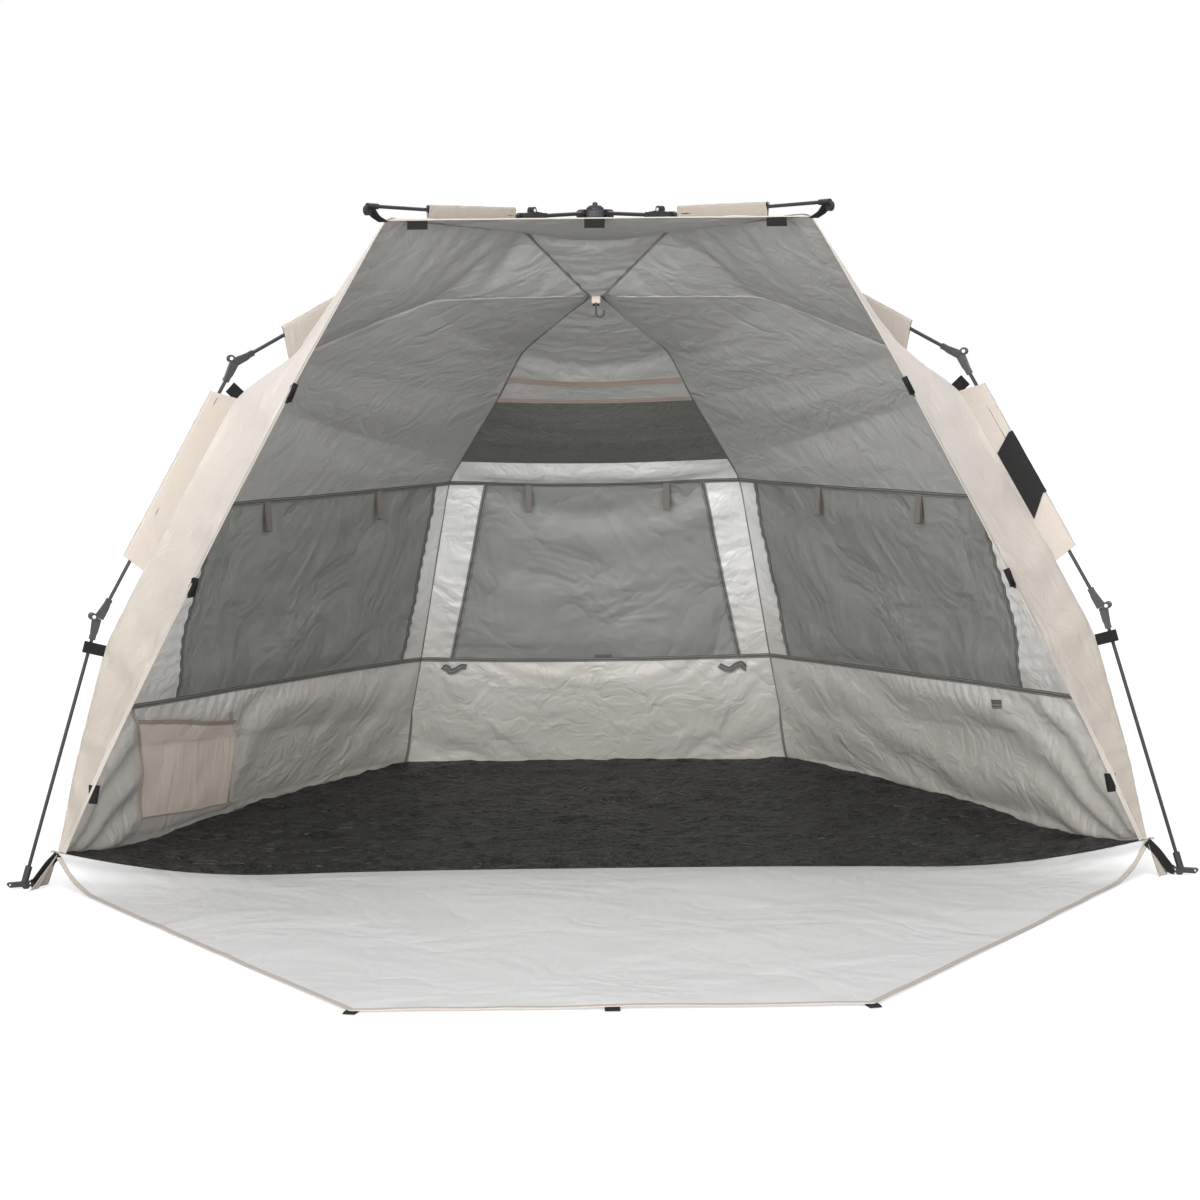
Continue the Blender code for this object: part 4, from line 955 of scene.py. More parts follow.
def gathers(point, row, column, last):
    """Short puckers where the cloth is sewn to a window's tapes."""
    below = row - WINDOW_BOTTOM_ROW
    if 0 < below < PUCKER_ROWS:
        along = (point.x ** 2 + point.y ** 2) ** 0.5 + point.y
        wave = math.sin(along * PUCKERS_BELOW + 3 * noise.noise(point * 7))
        return PUCKER_DEPTH * wave * (1 - below / PUCKER_ROWS) ** 2
    if WINDOW_TOP_ROW < row < WINDOW_BOTTOM_ROW and not 1 < column < last - 1:
        near = min(abs(column - 1), abs(column - last + 1))
        wave = math.sin(point.z * PUCKERS_BESIDE + 4 * noise.noise(point * 9))
        return 0.7 * PUCKER_DEPTH * wave * max(0, 1 - near) ** 2
    return 0.0


def doubled(points):
    """A line of points with a new one between each two, on a smooth curve."""
    made = [points[0]]
    for k in range(len(points) - 1):
        a, b = points[max(k - 1, 0)], points[k]
        c, d = points[k + 1], points[min(k + 2, len(points) - 1)]
        made += [(9 * (b + c) - a - d) / 16, c]
    return made


def halved(places):
    """A list of places with the middle of each step put in."""
    made = [places[0]]
    for low, high in zip(places, places[1:]):
        made += [(low + high) / 2, high]
    return made


# Making and finishing pieces

def select_only(piece):
    bpy.ops.object.select_all(action="DESELECT")
    piece.select_set(True)
    bpy.context.view_layer.objects.active = piece


def piece_from(name, points, faces, uvs=None, materials=(), face_materials=None):
    """A mesh piece, with its UV map in metres given per point."""
    mesh = bpy.data.meshes.new(name)
    mesh.from_pydata(points, [], faces)
    piece = bpy.data.objects.new(name, mesh)
    bpy.context.collection.objects.link(piece)
    for material in materials:
        mesh.materials.append(material)
    if uvs is not None:
        layer = mesh.uv_layers.new(name="cloth")
        for loop in mesh.loops:
            layer.data[loop.index].uv = uvs[loop.vertex_index]
    if face_materials is not None:
        mesh.polygons.foreach_set("material_index", face_materials)
    mesh.shade_smooth()
    return piece


def grid_faces(rows, columns):
    """Four-sided faces over a grid of points, row by row."""
    corners = [i * (columns + 1) + k for i in range(rows) for k in range(columns)]
    return [(n, n + 1, n + columns + 2, n + columns + 1) for n in corners]


def thicken(piece, thickness, offset=1.0, materials=2):
    """Gives a sheet its thickness. The first material is outside, the next one inside."""
    modifier = piece.modifiers.new("Solidify", "SOLIDIFY")
    modifier.thickness = thickness
    modifier.offset = offset
    modifier.use_even_offset = False
    modifier.material_offset = materials - 1
    select_only(piece)
    bpy.ops.object.modifier_apply(modifier="Solidify")
    bpy.ops.object.shade_smooth_by_angle(angle=math.radians(50))
    return piece


def sheet_piece(name, panel, rows, columns, outer, inner, hole=None, low=0.0, thickness=CLOTH, roof_rows=0):
    """One sewn sheet over a block of a panel, with an opening where a window goes.

    The rows above the windows may have the roof's lining.
    """
    picked_rows = [i for i, row in enumerate(panel.rows) if rows[0] <= row <= rows[1]]
    picked_columns = [k for k, column in enumerate(panel.columns) if columns[0] <= column <= columns[1]]
    places, points, uvs = {}, [], []
    middle = picked_columns[len(picked_columns) // 2]
    down = 0.0
    for i in picked_rows:
        if i > picked_rows[0]:
            down += (panel.grid[i][middle] - panel.grid[i - 1][middle]).length
        across = 0.0
        offset = sum(
            (panel.grid[i][k + 1] - panel.grid[i][k]).length for k in picked_columns if k < middle
        )
        for k in picked_columns:
            if k > picked_columns[0]:
                across += (panel.grid[i][k] - panel.grid[i][k - 1]).length
            places[i, k] = len(points)
            points.append(panel.grid[i][k] + panel.normals[i][k] * low)
            uvs.append((across - offset, -down))
    faces, face_materials = [], []
    for i in picked_rows[:-1]:
        for k in picked_columns[:-1]:
            if hole and in_block(hole, panel.rows[i], panel.columns[k]):
                continue
            face = [places[i, k], places[i + 1, k], places[i + 1, k + 1], places[i, k + 1]]
            faces.append(face if panel.outward > 0 else face[::-1])
            face_materials.append(2 if panel.rows[i] < roof_rows else 0)
    used = sorted({n for face in faces for n in face})
    index = {n: at for at, n in enumerate(used)}
    faces = [[index[n] for n in face] for face in faces]
    points, uvs = [points[n] for n in used], [uvs[n] for n in used]
    fabrics = (outer, inner, outer, "roof_cloth") if roof_rows else (outer, inner)
    piece = piece_from(name, points, faces, uvs, [cloth(fabric) for fabric in fabrics], face_materials)
    return thicken(piece, thickness)


def in_block(block, row, column):
    """Whether a cell that starts at a place lies in a block of rows and columns."""
    rows, columns = block
    return rows[0] <= row < rows[1] and columns[0] <= column < columns[1]


def ribbon(name, line, outs, width, thickness, fabric, closed=False):
    """A flat strip along a line: its inner face lies on the line and outs point away from it."""
    points, uvs, faces = [], [], []
    along = 0.0
    count = len(line)
    for n, (point, out) in enumerate(zip(line, outs)):
        before = line[n - 1] if n or closed else point
        after = line[(n + 1) % count] if n < count - 1 or closed else point
        across = (after - before).cross(out).normalized() * width / 2
        along += (point - line[n - 1]).length if n else 0.0
        up = out.normalized() * thickness
        points += [point - across, point + across, point + across + up, point - across + up]
        uvs += [(along, 0), (along, width), (along, width), (along, 0)]
    for n in range(count if closed else count - 1):
        here, there = 4 * n, 4 * ((n + 1) % count)
        for k in range(4):
            a, b = k, (k + 1) % 4
            faces.append((here + a, here + b, there + b, there + a))
    if not closed:
        last = 4 * (count - 1)
        faces += [(3, 2, 1, 0), (last, last + 1, last + 2, last + 3)]
    piece = piece_from(name, points, faces, uvs, (cloth(fabric),))
    outward_faces(piece)
    select_only(piece)
    bpy.ops.object.shade_smooth_by_angle(angle=math.radians(40))
    return piece


def outward_faces(piece):
    bm = bmesh.new()
    bm.from_mesh(piece.data)
    bmesh.ops.recalc_face_normals(bm, faces=bm.faces)
    bm.to_mesh(piece.data)
    bm.free()


def joined(name, pieces):
    """Several pieces as one, under one name."""
    bpy.ops.object.select_all(action="DESELECT")
    for piece in pieces:
        piece.select_set(True)
    bpy.context.view_layer.objects.active = pieces[0]
    if len(pieces) > 1:
        bpy.ops.object.join()
    pieces[0].name = pieces[0].data.name = name
    return pieces[0]


def sinks(piece):
    """Gives the piece a copy of its mesh of its own."""
    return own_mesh(piece)


def crumples(piece):
    """Gives the piece a copy of its mesh of its own."""
    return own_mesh(piece)


def on_canopy(piece):
    """The piece is sewn to the canopy and sinks with it."""
    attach(piece, "canopy")
    return sinks(piece)


def sewn_sheet(piece):
    """Measures a sheet's extents along its axes, which nothing uses, and returns the sheet."""
    axes = zip(*[vertex.co for vertex in piece.data.vertices])
    reach = sorted(max(values) - min(values) for values in axes)
    return piece


# The sewn parts

TENT = {}


def make_panels():
    """The canopy's panels between the poles' seams, settled and refined."""
    poles = {
        name: Pole(name)
        for name in ("front_right", "front_left", "rear_right", "rear_left", "awning_right", "awning_left")
    }
    panels = {}
    hems = {}
    for hand, side in (("right", 1), ("left", -1)):
        stations = side_seam(poles["front_" + hand])
        leg, back = Seam(stations), Seam(rear_seam(poles["rear_" + hand]))
        hem = Seam(front_seam(poles["awning_" + hand], stations[-1]), HEM_SOFTENING)
        hems[hand] = hem
        panels["side_" + hand] = Panel(
            "side_" + hand, leg, back, SIDE_TOP_SHARES, SIDE_BOTTOM_SHARES, SIDE_BULGE_SHARES, side
        )
        panels["wing_" + hand] = Panel("wing_" + hand, hem, leg, PLAIN_SHARES, outward=side)
    panels["rear"] = Panel(
        "rear", panels["side_right"].second, panels["side_left"].second, REAR_TOP_SHARES, REAR_BOTTOM_SHARES
    )
    panels["awning"] = Panel("awning", hems["left"], hems["right"], PLAIN_SHARES, last=CORNER_ROW)
    for seed, panel in enumerate(panels.values()):
        most = WING_SLACK_REACH if panel.name.startswith("wing") else WALL_SLACK_REACH
        panel.settle(sizes().slack, most, seed)
        panel.refine()
        panel.crease()
    TENT["poles"], TENT["panels"] = poles, panels


def window_hole(columns):
    return (WINDOW_TOP_ROW, WINDOW_BOTTOM_ROW), (1, columns - 1)


def make_walls():
    """Side walls, rear wall and wings, each a sheet of its own with its window left open."""
    panels = TENT["panels"]
    for hand in ("right", "left"):
        side, columns = panels["side_" + hand], WALL_COLUMNS["side_" + hand]
        wall = sheet_piece(
            "side_wall_cloth_" + hand, side, (0, LAST_ROW), (0, columns), "shell_cloth", "lining_cloth",
            window_hole(columns), roof_rows=WINDOW_TOP_ROW,
        )
        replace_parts(on_canopy(wall), "side_wall_" + hand)
        sewn_sheet(wall)
        wing = sheet_piece(
            "wing_cloth_" + hand, panels["wing_" + hand], (0, LAST_ROW), (0, 2), "shell_cloth", "roof_cloth"
        )
        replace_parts(on_canopy(wing), "wing_" + hand)
        sewn_sheet(wing)
        window_mesh("window_mesh_" + hand, side, columns)
    columns = WALL_COLUMNS["rear"]
    rear = sheet_piece(
        "rear_wall_cloth", panels["rear"], (VENT_BOTTOM_ROW, LAST_ROW), (0, columns),
        "shell_cloth", "lining_cloth", window_hole(columns),
    )
    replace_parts(on_canopy(rear), "rear_wall")
    sewn_sheet(rear)
    window_mesh("window_mesh_rear", panels["rear"], columns)


def window_mesh(name, panel, columns):
    """The mesh that fills a wall's window."""
    mesh = sheet_piece(
        name, panel, *window_hole(columns), "mesh_cloth", "mesh_cloth", thickness=MESH_THICKNESS
    )
    on_canopy(mesh)
    sewn_sheet(mesh)


def make_roof():
    """The roof's rear panel, its vent, and the awning that reaches out over the doorway."""
    panels = TENT["panels"]
    columns = 0, WALL_COLUMNS["rear"]
    roof = sheet_piece(
        "rear_roof_cloth", panels["rear"], (0, VENT_TOP_ROW), columns, "shell_cloth", "roof_cloth"
    )
    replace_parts(on_canopy(roof), "rear_roof")
    sewn_sheet(roof)
    vent = sheet_piece(
        "vent_mesh_cloth", panels["rear"], (VENT_TOP_ROW, VENT_BOTTOM_ROW), columns,
        "vent_cloth", "vent_cloth", thickness=MESH_THICKNESS,
    )
    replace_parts(on_canopy(vent), "vent_mesh")
    sewn_sheet(vent)
    awning = sheet_piece(
        "awning_cloth", panels["awning"], (0, CORNER_ROW), (0, 2), "shell_cloth", "roof_cloth"
    )
    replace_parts(on_canopy(awning), "awning_panel")
    sewn_sheet(awning)


def panel_strip(name, panel, start, end, width, fabric, thickness=TAPE_THICKNESS):
    """A flat strip sewn onto a panel's inner face between two (row, column) places."""
    line, outs = panel.line(start, end)
    return ribbon(name, line, [-out for out in outs], width, thickness, fabric)


def window_tape(panel, start, end):
    """A dark tape sewn on the inside, round a window."""
    width = sizes().tape_width
    return panel_strip("tape", panel, start, end, width, "tape_cloth", WINDOW_TAPE_THICKNESS)


def make_tapes():
    """Tapes round the windows, along the seams and over the vent."""
    panels = TENT["panels"]
    width, seam_width = sizes().tape_width, sizes().seam_width
    top, bottom = WINDOW_TOP_ROW, WINDOW_BOTTOM_ROW
    for name, count in WALL_COLUMNS.items():
        panel = panels[name]
        tapes = [window_tape(panel, (row, 0), (row, count)) for row in (top, bottom)]
        tapes += [window_tape(panel, (top, column), (bottom, column)) for column in (1, count - 1)]
        on_canopy(joined("window_tapes_" + name, tapes))
        if panel.raised:
            seam = panel_strip(
                "seam_tape_" + name, panel, (0, count), (LAST_ROW, count), seam_width, "seam_cloth"
            )
            on_canopy(seam)
            ridge = panel_strip(
                "leg_seam_" + name, panel, (0, 0), (LAST_ROW, 0), RIDGE_WIDTH, "ridge_cloth", RIDGE_WIDTH / 2
            )
            on_canopy(ridge)
    rear = panels["rear"]
    bands = [
        panel_strip("band", rear, (row, 0), (row, WALL_COLUMNS["rear"]), wide * width, "tan_cloth")
        for row, wide in ((VENT_TOP_ROW - VENT_BAND_ROWS, 1.9), (VENT_TOP_ROW, 1.3))
    ]
    on_canopy(joined("vent_bands", bands))
    front = [
        panel_strip("seam", panels["wing_" + hand], (0, 0), (CORNER_ROW, 0), seam_width, "seam_cloth")
        for hand in ("right", "left")
    ]
    on_canopy(joined("awning_seam_tapes", front))


def make_hems():
    """Binding on the doorway's free edges and the awning's front edge."""
    panels = TENT["panels"]
    for hand in ("right", "left"):
        wing = panels["wing_" + hand]
        line, outs = wing.line((CORNER_ROW, 0), (LAST_ROW, 0), lift=-CLOTH)
        line, outs = softened(line, 6), softened(outs, 60)
        hem = ribbon("hem_" + hand, line, outs, sizes().binding_width, 3 * CLOTH, "binding_cloth")
        on_canopy(hem)
    awning = panels["awning"]
    line, outs = awning.line((CORNER_ROW, 0), (CORNER_ROW, 2), lift=-CLOTH)
    width = 0.3 * sizes().binding_width
    on_canopy(ribbon("awning_hem", line, outs, width, 3 * CLOTH, "binding_cloth"))


def curved(points, passes=3, step=0.003):
    """A soft line of closely spaced points through a few given ones."""
    line = []
    for here, there in zip(points, points[1:]):
        count = max(1, round((there - here).length / step))
        line += [here.lerp(there, n / count) for n in range(count)]
    return softened(line + [points[-1]], passes)


def strap(name, line, side, width, thickness, fabric):
    """A strip that bends along a line, kept level with one side direction."""
    outs = []
    for n in range(len(line)):
        along = line[min(n + 1, len(line) - 1)] - line[max(n - 1, 0)]
        outs.append(side.cross(along).normalized())
    return ribbon(name, line, outs, width, thickness, fabric)


def hanging_loop(panel, row, column):
    """A flat doubled loop that hangs from a window's top tape and ties the rolled cover."""
    top, out = panel.at(row, column, -2 * TAPE_THICKNESS), -panel.out(row, column)
    down = -UP
    line = curved([top + down * LOOP_LENGTH * far + out * high for far, high in LOOP_PATH])
    side = down.cross(out)
    side.x *= LOOP_TURN
    return strap("loop", line, side.normalized(), LOOP_WIDTH, TAPE_THICKNESS, "strap_cloth")


def make_loops():
    """The loops under the windows' top tapes."""
    for name, places in WINDOW_LOOPS.items():
        panel = TENT["panels"][name]
        loops = [hanging_loop(panel, row, column) for row, column in places]
        on_canopy(joined("window_loops_" + name, loops))


def folded_tab(base, reach, across, width, length, inset=0.002):
    """Webbing folded into a flat loop that stands out from a seam or hem."""
    out = across.cross(reach).normalized()
    thick = 2 * TAPE_THICKNESS
    middle = 0.6 * length
    path = [
        (-inset, -thick), (middle, -1.2 * thick), (length, -thick),
        (length, 0), (middle, thick), (-0.002, thick),
    ]
    line = curved([base + reach * far + out * high for far, high in path], 2, 0.0025)
    return strap("tab", line, across, width, TAPE_THICKNESS, "webbing_cloth")


def make_tabs():
    """Folded tabs on the doorway's hem, the awning's front edge and the walls."""
    panels = TENT["panels"]
    for hand in ("right", "left"):
        wing = panels["wing_" + hand]
        tabs = []
        for row in HEM_TAB_ROWS:
            base = wing.at(row, 0)
            reach = (base - wing.at(row, 0.15)).normalized()
            across = (wing.at(row + 0.1, 0) - base).normalized()
            tabs.append(folded_tab(base, reach, across, *HEM_TAB))
        on_canopy(joined("hem_tabs_" + hand, tabs))
    awning = panels["awning"]
    tabs = []
    for column in AWNING_TAB_COLUMNS:
        base = awning.at(CORNER_ROW, column, -2 * CLOTH)
        tabs.append(folded_tab(base, Vector((0, -0.25, -1)).normalized(), Vector((1, 0, 0)), *HEM_TAB))
    on_canopy(joined("awning_tabs", tabs))
    small = []
    for name, row, column in WALL_TABS:
        panel = panels[name]
        ends = (row, column - WALL_TAB_REACH), (row, column + WALL_TAB_REACH)
        line, outs = panel.line(*ends, lift=-TAPE_THICKNESS)
        outs = [-out for out in outs]
        small.append(ribbon("tab", line, outs, WALL_TAB_WIDTH, 2 * TAPE_THICKNESS, "tape_cloth"))
    for column in (1, WALL_COLUMNS["rear"] - 1):
        small.append(zip_end(panels["rear"], WINDOW_BOTTOM_ROW + ZIP_DROP, column))
    on_canopy(joined("wall_tabs", small))


def zip_end(panel, row, column):
    """The cover's zip, left in a crumpled bunch under the window's corner."""
    points = []
    for n in range(15):
        share = n / 14
        place = (row + 0.05 * math.sin(share * 9 + column), column + between(-0.16, 0.22, share))
        points.append(panel.at(*place, -0.003 - 0.004 * abs(math.sin(share * 14 + column))))
    side = panel.at(row, column) - panel.at(row + 0.2, column)
    return strap("zip", curved(points), side, ZIP_WIDTH, 2 * TAPE_THICKNESS, "tape_cloth")


def make_pocket():
    """The sand-brown pocket on the left wall, with its own binding."""
    panel = TENT["panels"]["side_left"]
    rows, columns = POCKET_CELLS
    points, uvs = [], []
    for i in range(rows + 1):
        for k in range(columns + 1):
            down, across = i / rows, k / columns
            place = pocket_place(between(POCKET_MOUTH, 1, down), across)
            free = math.sin(math.pi * across) ** 0.6
            gap = POCKET_PUFF * free * (1 - down ** 3) + 0.004 * free * noise.noise(panel.at(*place) * 14)
            points.append(panel.at(*place, -TAPE_THICKNESS - max(0, gap)))
            uvs.append((across * POCKET_WIDTH, -down * POCKET_WIDTH / 4))
    edges = [points[:columns + 1], points[-columns - 1:]]
    for across in (0.0, 0.955):
        edges.append([panel.at(*pocket_place(n / 30, across), -2 * CLOTH) for n in range(31)])
    pocket = piece_from("pocket_cloth", points, grid_faces(rows, columns), uvs, (cloth("pocket_cloth"),))
    thicken(pocket, CLOTH, materials=1)
    on_canopy(pocket)
    sewn_sheet(pocket)
    out = -panel.out(*pocket_place(0.5, 0.5))
    strips = [
        ribbon("edge", edge, [out] * len(edge), width, 2 * TAPE_THICKNESS, "tan_cloth")
        for edge, width in zip(edges, POCKET_BINDING_WIDTHS)
    ]
    on_canopy(joined("pocket_binding", strips))


def pocket_place(down, across):
    """The wall's (row, column) at a share down and across the pocket."""
    upper = Vector(POCKET_CORNERS[0]).lerp(Vector(POCKET_CORNERS[1]), across)
    lower = Vector(POCKET_CORNERS[2]).lerp(Vector(POCKET_CORNERS[3]), across)
    return tuple(upper.lerp(lower, down))


def make_straps():
    """Webbing that ties the canopy to the feet, the lower rods and the awning tips."""
    panels = TENT["panels"]
    for hand in ("right", "left"):
        wall, awning = panels["side_" + hand], TENT["poles"]["awning_" + hand]
        corner = panels["wing_" + hand].at(CORNER_ROW, 0)
        tip = awning.pins[2] - UP * 0.004
        low, high = corner - UP * 0.004 + awning.radial * 0.012, corner + awning.radial * 0.04 + UP * 0.006
        line = curved([low, high, tip], 5)
        tie = strap("awning_tie_" + hand, line, awning.across, *AWNING_TIE, "webbing_cloth")
        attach(tie, "awning_" + hand)
        for end, column in (("front", 0), ("rear", WALL_COLUMNS["side_" + hand])):
            pole = TENT["poles"][f"{end}_{hand}"]
            foot_tie(f"foot_tie_{end}_{hand}", wall.at(LAST_ROW, column))
            rod_loop(f"rod_loop_{end}_{hand}", wall, column, pole)
        crest = wall.at(*RIDGE_LOOP_PLACE, CLOTH)
        along = (wall.at(RIDGE_LOOP_PLACE[0] + 0.1, 0) - crest).normalized()
        out = (wall.out(*RIDGE_LOOP_PLACE) + panels["wing_" + hand].out(RIDGE_LOOP_PLACE[0], 2)).normalized()
        loop = folded_tab(crest, out, along, *RIDGE_LOOP, inset=0.0)
        loop.name = loop.data.name = "ridge_loop_" + hand
        on_canopy(loop)


def foot_tie(name, corner):
    """A wide strap from the floor's corner to the foot, and the short sand flap behind it."""
    points = node_points(name.replace("foot_tie", "foot"))
    near = min(points, key=lambda point: (point - corner).length)
    near.z = FOOT_TIE_HEIGHT
    level = Vector((near.x - corner.x, near.y - corner.y, 0)).normalized()
    low = corner - UP * 0.006
    line = curved([low, low.lerp(near, 0.4) + UP * 0.002, near - level * 0.004, near + level * 0.004], 4)
    side = (0.45 * level.cross(UP) - UP).normalized()
    tie = strap(name, line, side, *FOOT_TIE, "webbing_cloth")
    on_canopy(tie)
    rows, columns = FLAP_CELLS
    spread = level.cross(UP) * FLAP_SPREAD
    ground = [corner + level * FLAP_REACH - spread, corner + level * FLAP_REACH * 0.4 + spread]
    places, uvs = [], []
    for i in range(rows + 1):
        for k in range(columns + 1):
            foot = ground[0].lerp(ground[1], k / columns)
            foot.z = 0.001
            place = corner.lerp(foot, between(0.04, 1.0, i / rows)) - UP * 0.003
            place.z = max(place.z, 0.001)
            places.append(place + level * 0.004 * math.sin(k * 1.3) * i / rows)
            uvs.append((k * 0.008, i * 0.014))
    faces = grid_faces(rows, columns)
    flap = piece_from(name.replace("tie", "flap"), places, faces, uvs, (cloth("sleeve_cloth"),))
    on_canopy(thicken(flap, CLOTH, materials=1))
    sewn_sheet(flap)


def rod_loop(name, wall, column, pole):
    """Webbing sewn into the leg's seam and round the lower rod."""
    centre = pole.pins[3].lerp(pole.pins[4], ROD_LOOP_SHARE)
    places = [wall.at(row / 50, column) for row in range(250, 450)]
    seam = min(places, key=lambda point: (point - centre).length)
    along = (pole.pins[4] - pole.pins[3]).normalized()
    back = (seam - centre) - along * (seam - centre).dot(along)
    back_length = back.length
    back.normalize()
    side = along.cross(back)
    radius = ROD_RADIUS + 0.0006
    turns = [math.pi * n / 8 for n in range(9)]
    outs = [side * math.cos(turn) - back * math.sin(turn) for turn in turns]
    line = [centre + out * radius for out in outs]
    for way, shares in ((-side, (0.4, 0.75, 1.0)), (side, (1.0, 0.75, 0.4))):
        for share in shares:
            line.append(centre + back * back_length * share + way * radius * (1 - 0.75 * share))
            outs.append(way)
    loop = ribbon(name, line, outs, *ROD_LOOP, "webbing_cloth", closed=True)
    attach(loop, pole.bodies[3])
    crumples(loop)


def make_apex_loop():
    """The sand-coloured tape loop that the hook hangs in."""
    low = min(point.z for point in node_points("apex_strap"))
    top = TENT["panels"]["rear"].at(0, 0).z
    half, thick = APEX_LOOP
    ways = [Vector((x, y, 0)) for x, y in ((-1, -1), (1, -1), (1, 1), (-1, 1))]
    collar = [Vector((way.x * half, way.y * thick, top - 0.001)) for way in ways]
    parts = [ribbon("apex_loop", collar, ways, 0.004, CLOTH, "tan_cloth", closed=True)]
    for side in (-1, 1):
        heights = (top, (top + low) / 2, low + APEX_LOOP_OPEN)
        line = curved([Vector((0, side * thick, height)) for height in heights], 0)
        outs = [Vector((0, side, 0))] * len(line)
        parts.append(ribbon("side", line, outs, 2 * half, CLOTH, "pocket_cloth"))
    on_canopy(joined("apex_loop", parts))


def make_foot_line():
    """The thin sand-coloured line where the walls are sewn to the floor."""
    panels = TENT["panels"]
    lines = []
    for name, count in WALL_COLUMNS.items():
        ends = (FOOT_LINE_ROW, 0), (FOOT_LINE_ROW, count)
        lines.append(
            panel_strip("line", panels[name], *ends, FOOT_LINE_WIDTH, "shell_cloth", 2 * TAPE_THICKNESS)
        )
    on_canopy(joined("wall_foot_lines", lines))


def make_porch_tabs():
    """Black tabs under the porch's front edge, for its pegs."""
    front = PORCH_EDGE[-1]
    tabs = []
    for side in (0, 1, -1):
        reach = Vector((0.25 * side, -1, 0)).normalized()
        start = Vector((side * front.x, front.y, 0)) - reach * 0.012
        line = curved([start + reach * far + UP * high for far, high in PORCH_TAB_PATH], 2)
        width = PORCH_TAB_WIDTHS[abs(side)]
        tabs.append(strap("tab", line, reach.cross(UP), width, 0.0012, "webbing_cloth"))
    piece = joined("porch_tabs", tabs)
    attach(piece, "porch")


def floor_edge(column):
    """Where the floor meets both side walls, at a column of theirs."""
    panels = TENT["panels"]
    return panels["side_left"].at(LAST_ROW, column), panels["side_right"].at(LAST_ROW, column)


def floor_front(share):
    """How far the floor's front edge draws back between its raised corners."""
    return FLOOR_FRONT_DEPTH * (1 - abs(2 * share - 1) ** 3)


def crinkle(point, scale, depth):
    """Height of sharp creases between flat facets."""
    fold = noise.noise(point * scale) + 0.5 * noise.noise(point * scale * 2.3 + UP * 7)
    return depth * (1 - min(1, abs(fold) * 2.5))


def make_floor():
    """The dark floor, crinkled, raised at its two front corners."""
    rows, columns = FLOOR_CELLS
    points, uvs = [], []
    for i in range(rows + 1):
        left, right = floor_edge(WALL_COLUMNS["side_left"] * i / rows)
        back = (1 - i / rows) ** 2
        for k in range(columns + 1):
            share = k / columns
            point = left.lerp(right, share)
            edge = max(0, abs(2 * share - 1) - FLOOR_FLAT_SHARE) / (1 - FLOOR_FLAT_SHARE)
            point.z = max(0, left.z - FLOOR_TOP) * edge * edge + FLOOR_TOP
            point.y += floor_front(share) * back
            free = min(1, i / 5)
            point.z += free * (crinkle(point, 3.6, 0.007) + crinkle(point + UP, 11.0, 0.003))
            points.append(point)
            uvs.append((point.x, point.y))
    floor = piece_from("floor_cloth", points, grid_faces(rows, columns), uvs, (groundsheet(),))
    thicken(floor, CLOTH, materials=1)
    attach(floor, "canopy")
    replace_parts(sinks(floor), "floor")
    sewn_sheet(floor)


def porch_edge(share, side):
    """The porch's side edge: down from the raised corner to the ground, then to the front."""
    point = TENT["porch_edge"].at(share * (len(PORCH_EDGE) - 1))
    return Vector((side * point.x, point.y, point.z))


def make_porch():
    """The pale sheet in front, draped from the floor's raised corners, with a bound edge."""
    rows, columns = PORCH_CELLS
    TENT["porch_edge"] = Seam(PORCH_EDGE, 4)
    corner = TENT["panels"]["side_right"].at(LAST_ROW, 0)
    points, uvs = [], []
    for i in range(rows + 1):
        left, right = porch_edge(i / rows, -1), porch_edge(i / rows, 1)
        for k in range(columns + 1):
            share = k / columns
            point = left.lerp(right, share)
            raised = max(0, abs(point.x) / corner.x - FLOOR_FLAT_SHARE) / (1 - FLOOR_FLAT_SHARE)
            point.z = corner.z * raised * raised * left.z / PORCH_EDGE[0].z
            point.y += floor_front(share) * max(0, 1 - 3 * i / rows) ** 2
            tucked = max(0, 1 - i / 6)
            across = min(1, abs(point.x) / corner.x)
            under = corner.y + floor_front((across + 1) / 2) + 0.004
            raised = max(0, across - FLOOR_FLAT_SHARE) / (1 - FLOOR_FLAT_SHARE)
            level = (corner.z - FLOOR_TOP) * raised * raised + FLOOR_TOP - 2 * CLOTH
            point.y = between(point.y, under, tucked ** 2)
            point.z = between(point.z, max(0, level), tucked ** 2)
            free = min(1, i / 12)
            point.z += free * (0.003 * (1 + noise.noise(point * 3.0)) + crinkle(point, 2.5, 0.002))
            points.append(point)
            uvs.append((point.x, point.y))
    faces = [(a, d, c, b) for a, b, c, d in grid_faces(rows, columns)]
    materials = cloth("porch_cloth"), cloth("porch_underside")
    porch = piece_from("porch_cloth", points, faces, uvs, materials)
    left, right = points[::columns + 1], points[columns::columns + 1]
    edge = left + points[-columns:] + right[-2::-1]
    thicken(porch, CLOTH)
    width = 1.2 * sizes().binding_width
    binding = ribbon(
        "porch_binding", edge, [UP] * len(edge), width, PORCH_BINDING_THICKNESS, "binding_cloth"
    )
    for piece in (porch, binding):
        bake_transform(piece)
    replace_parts(porch, "porch")
    sewn_sheet(porch)


def make_covers():
    """The rain covers outside the windows, each turning on its window's top edge."""
    for wall, columns in WALL_COLUMNS.items():
        name = wall.removeprefix("side_")
        cover = sheet_piece(
            "cover_cloth_" + name, TENT["panels"][wall], *window_hole(columns),
            "shell_cloth", "lining_cloth", low=COVER_LIFT,
        )
        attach(cover, "cover_" + name)
        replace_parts(sinks(cover), "window_cover_" + name)
        sewn_sheet(cover)


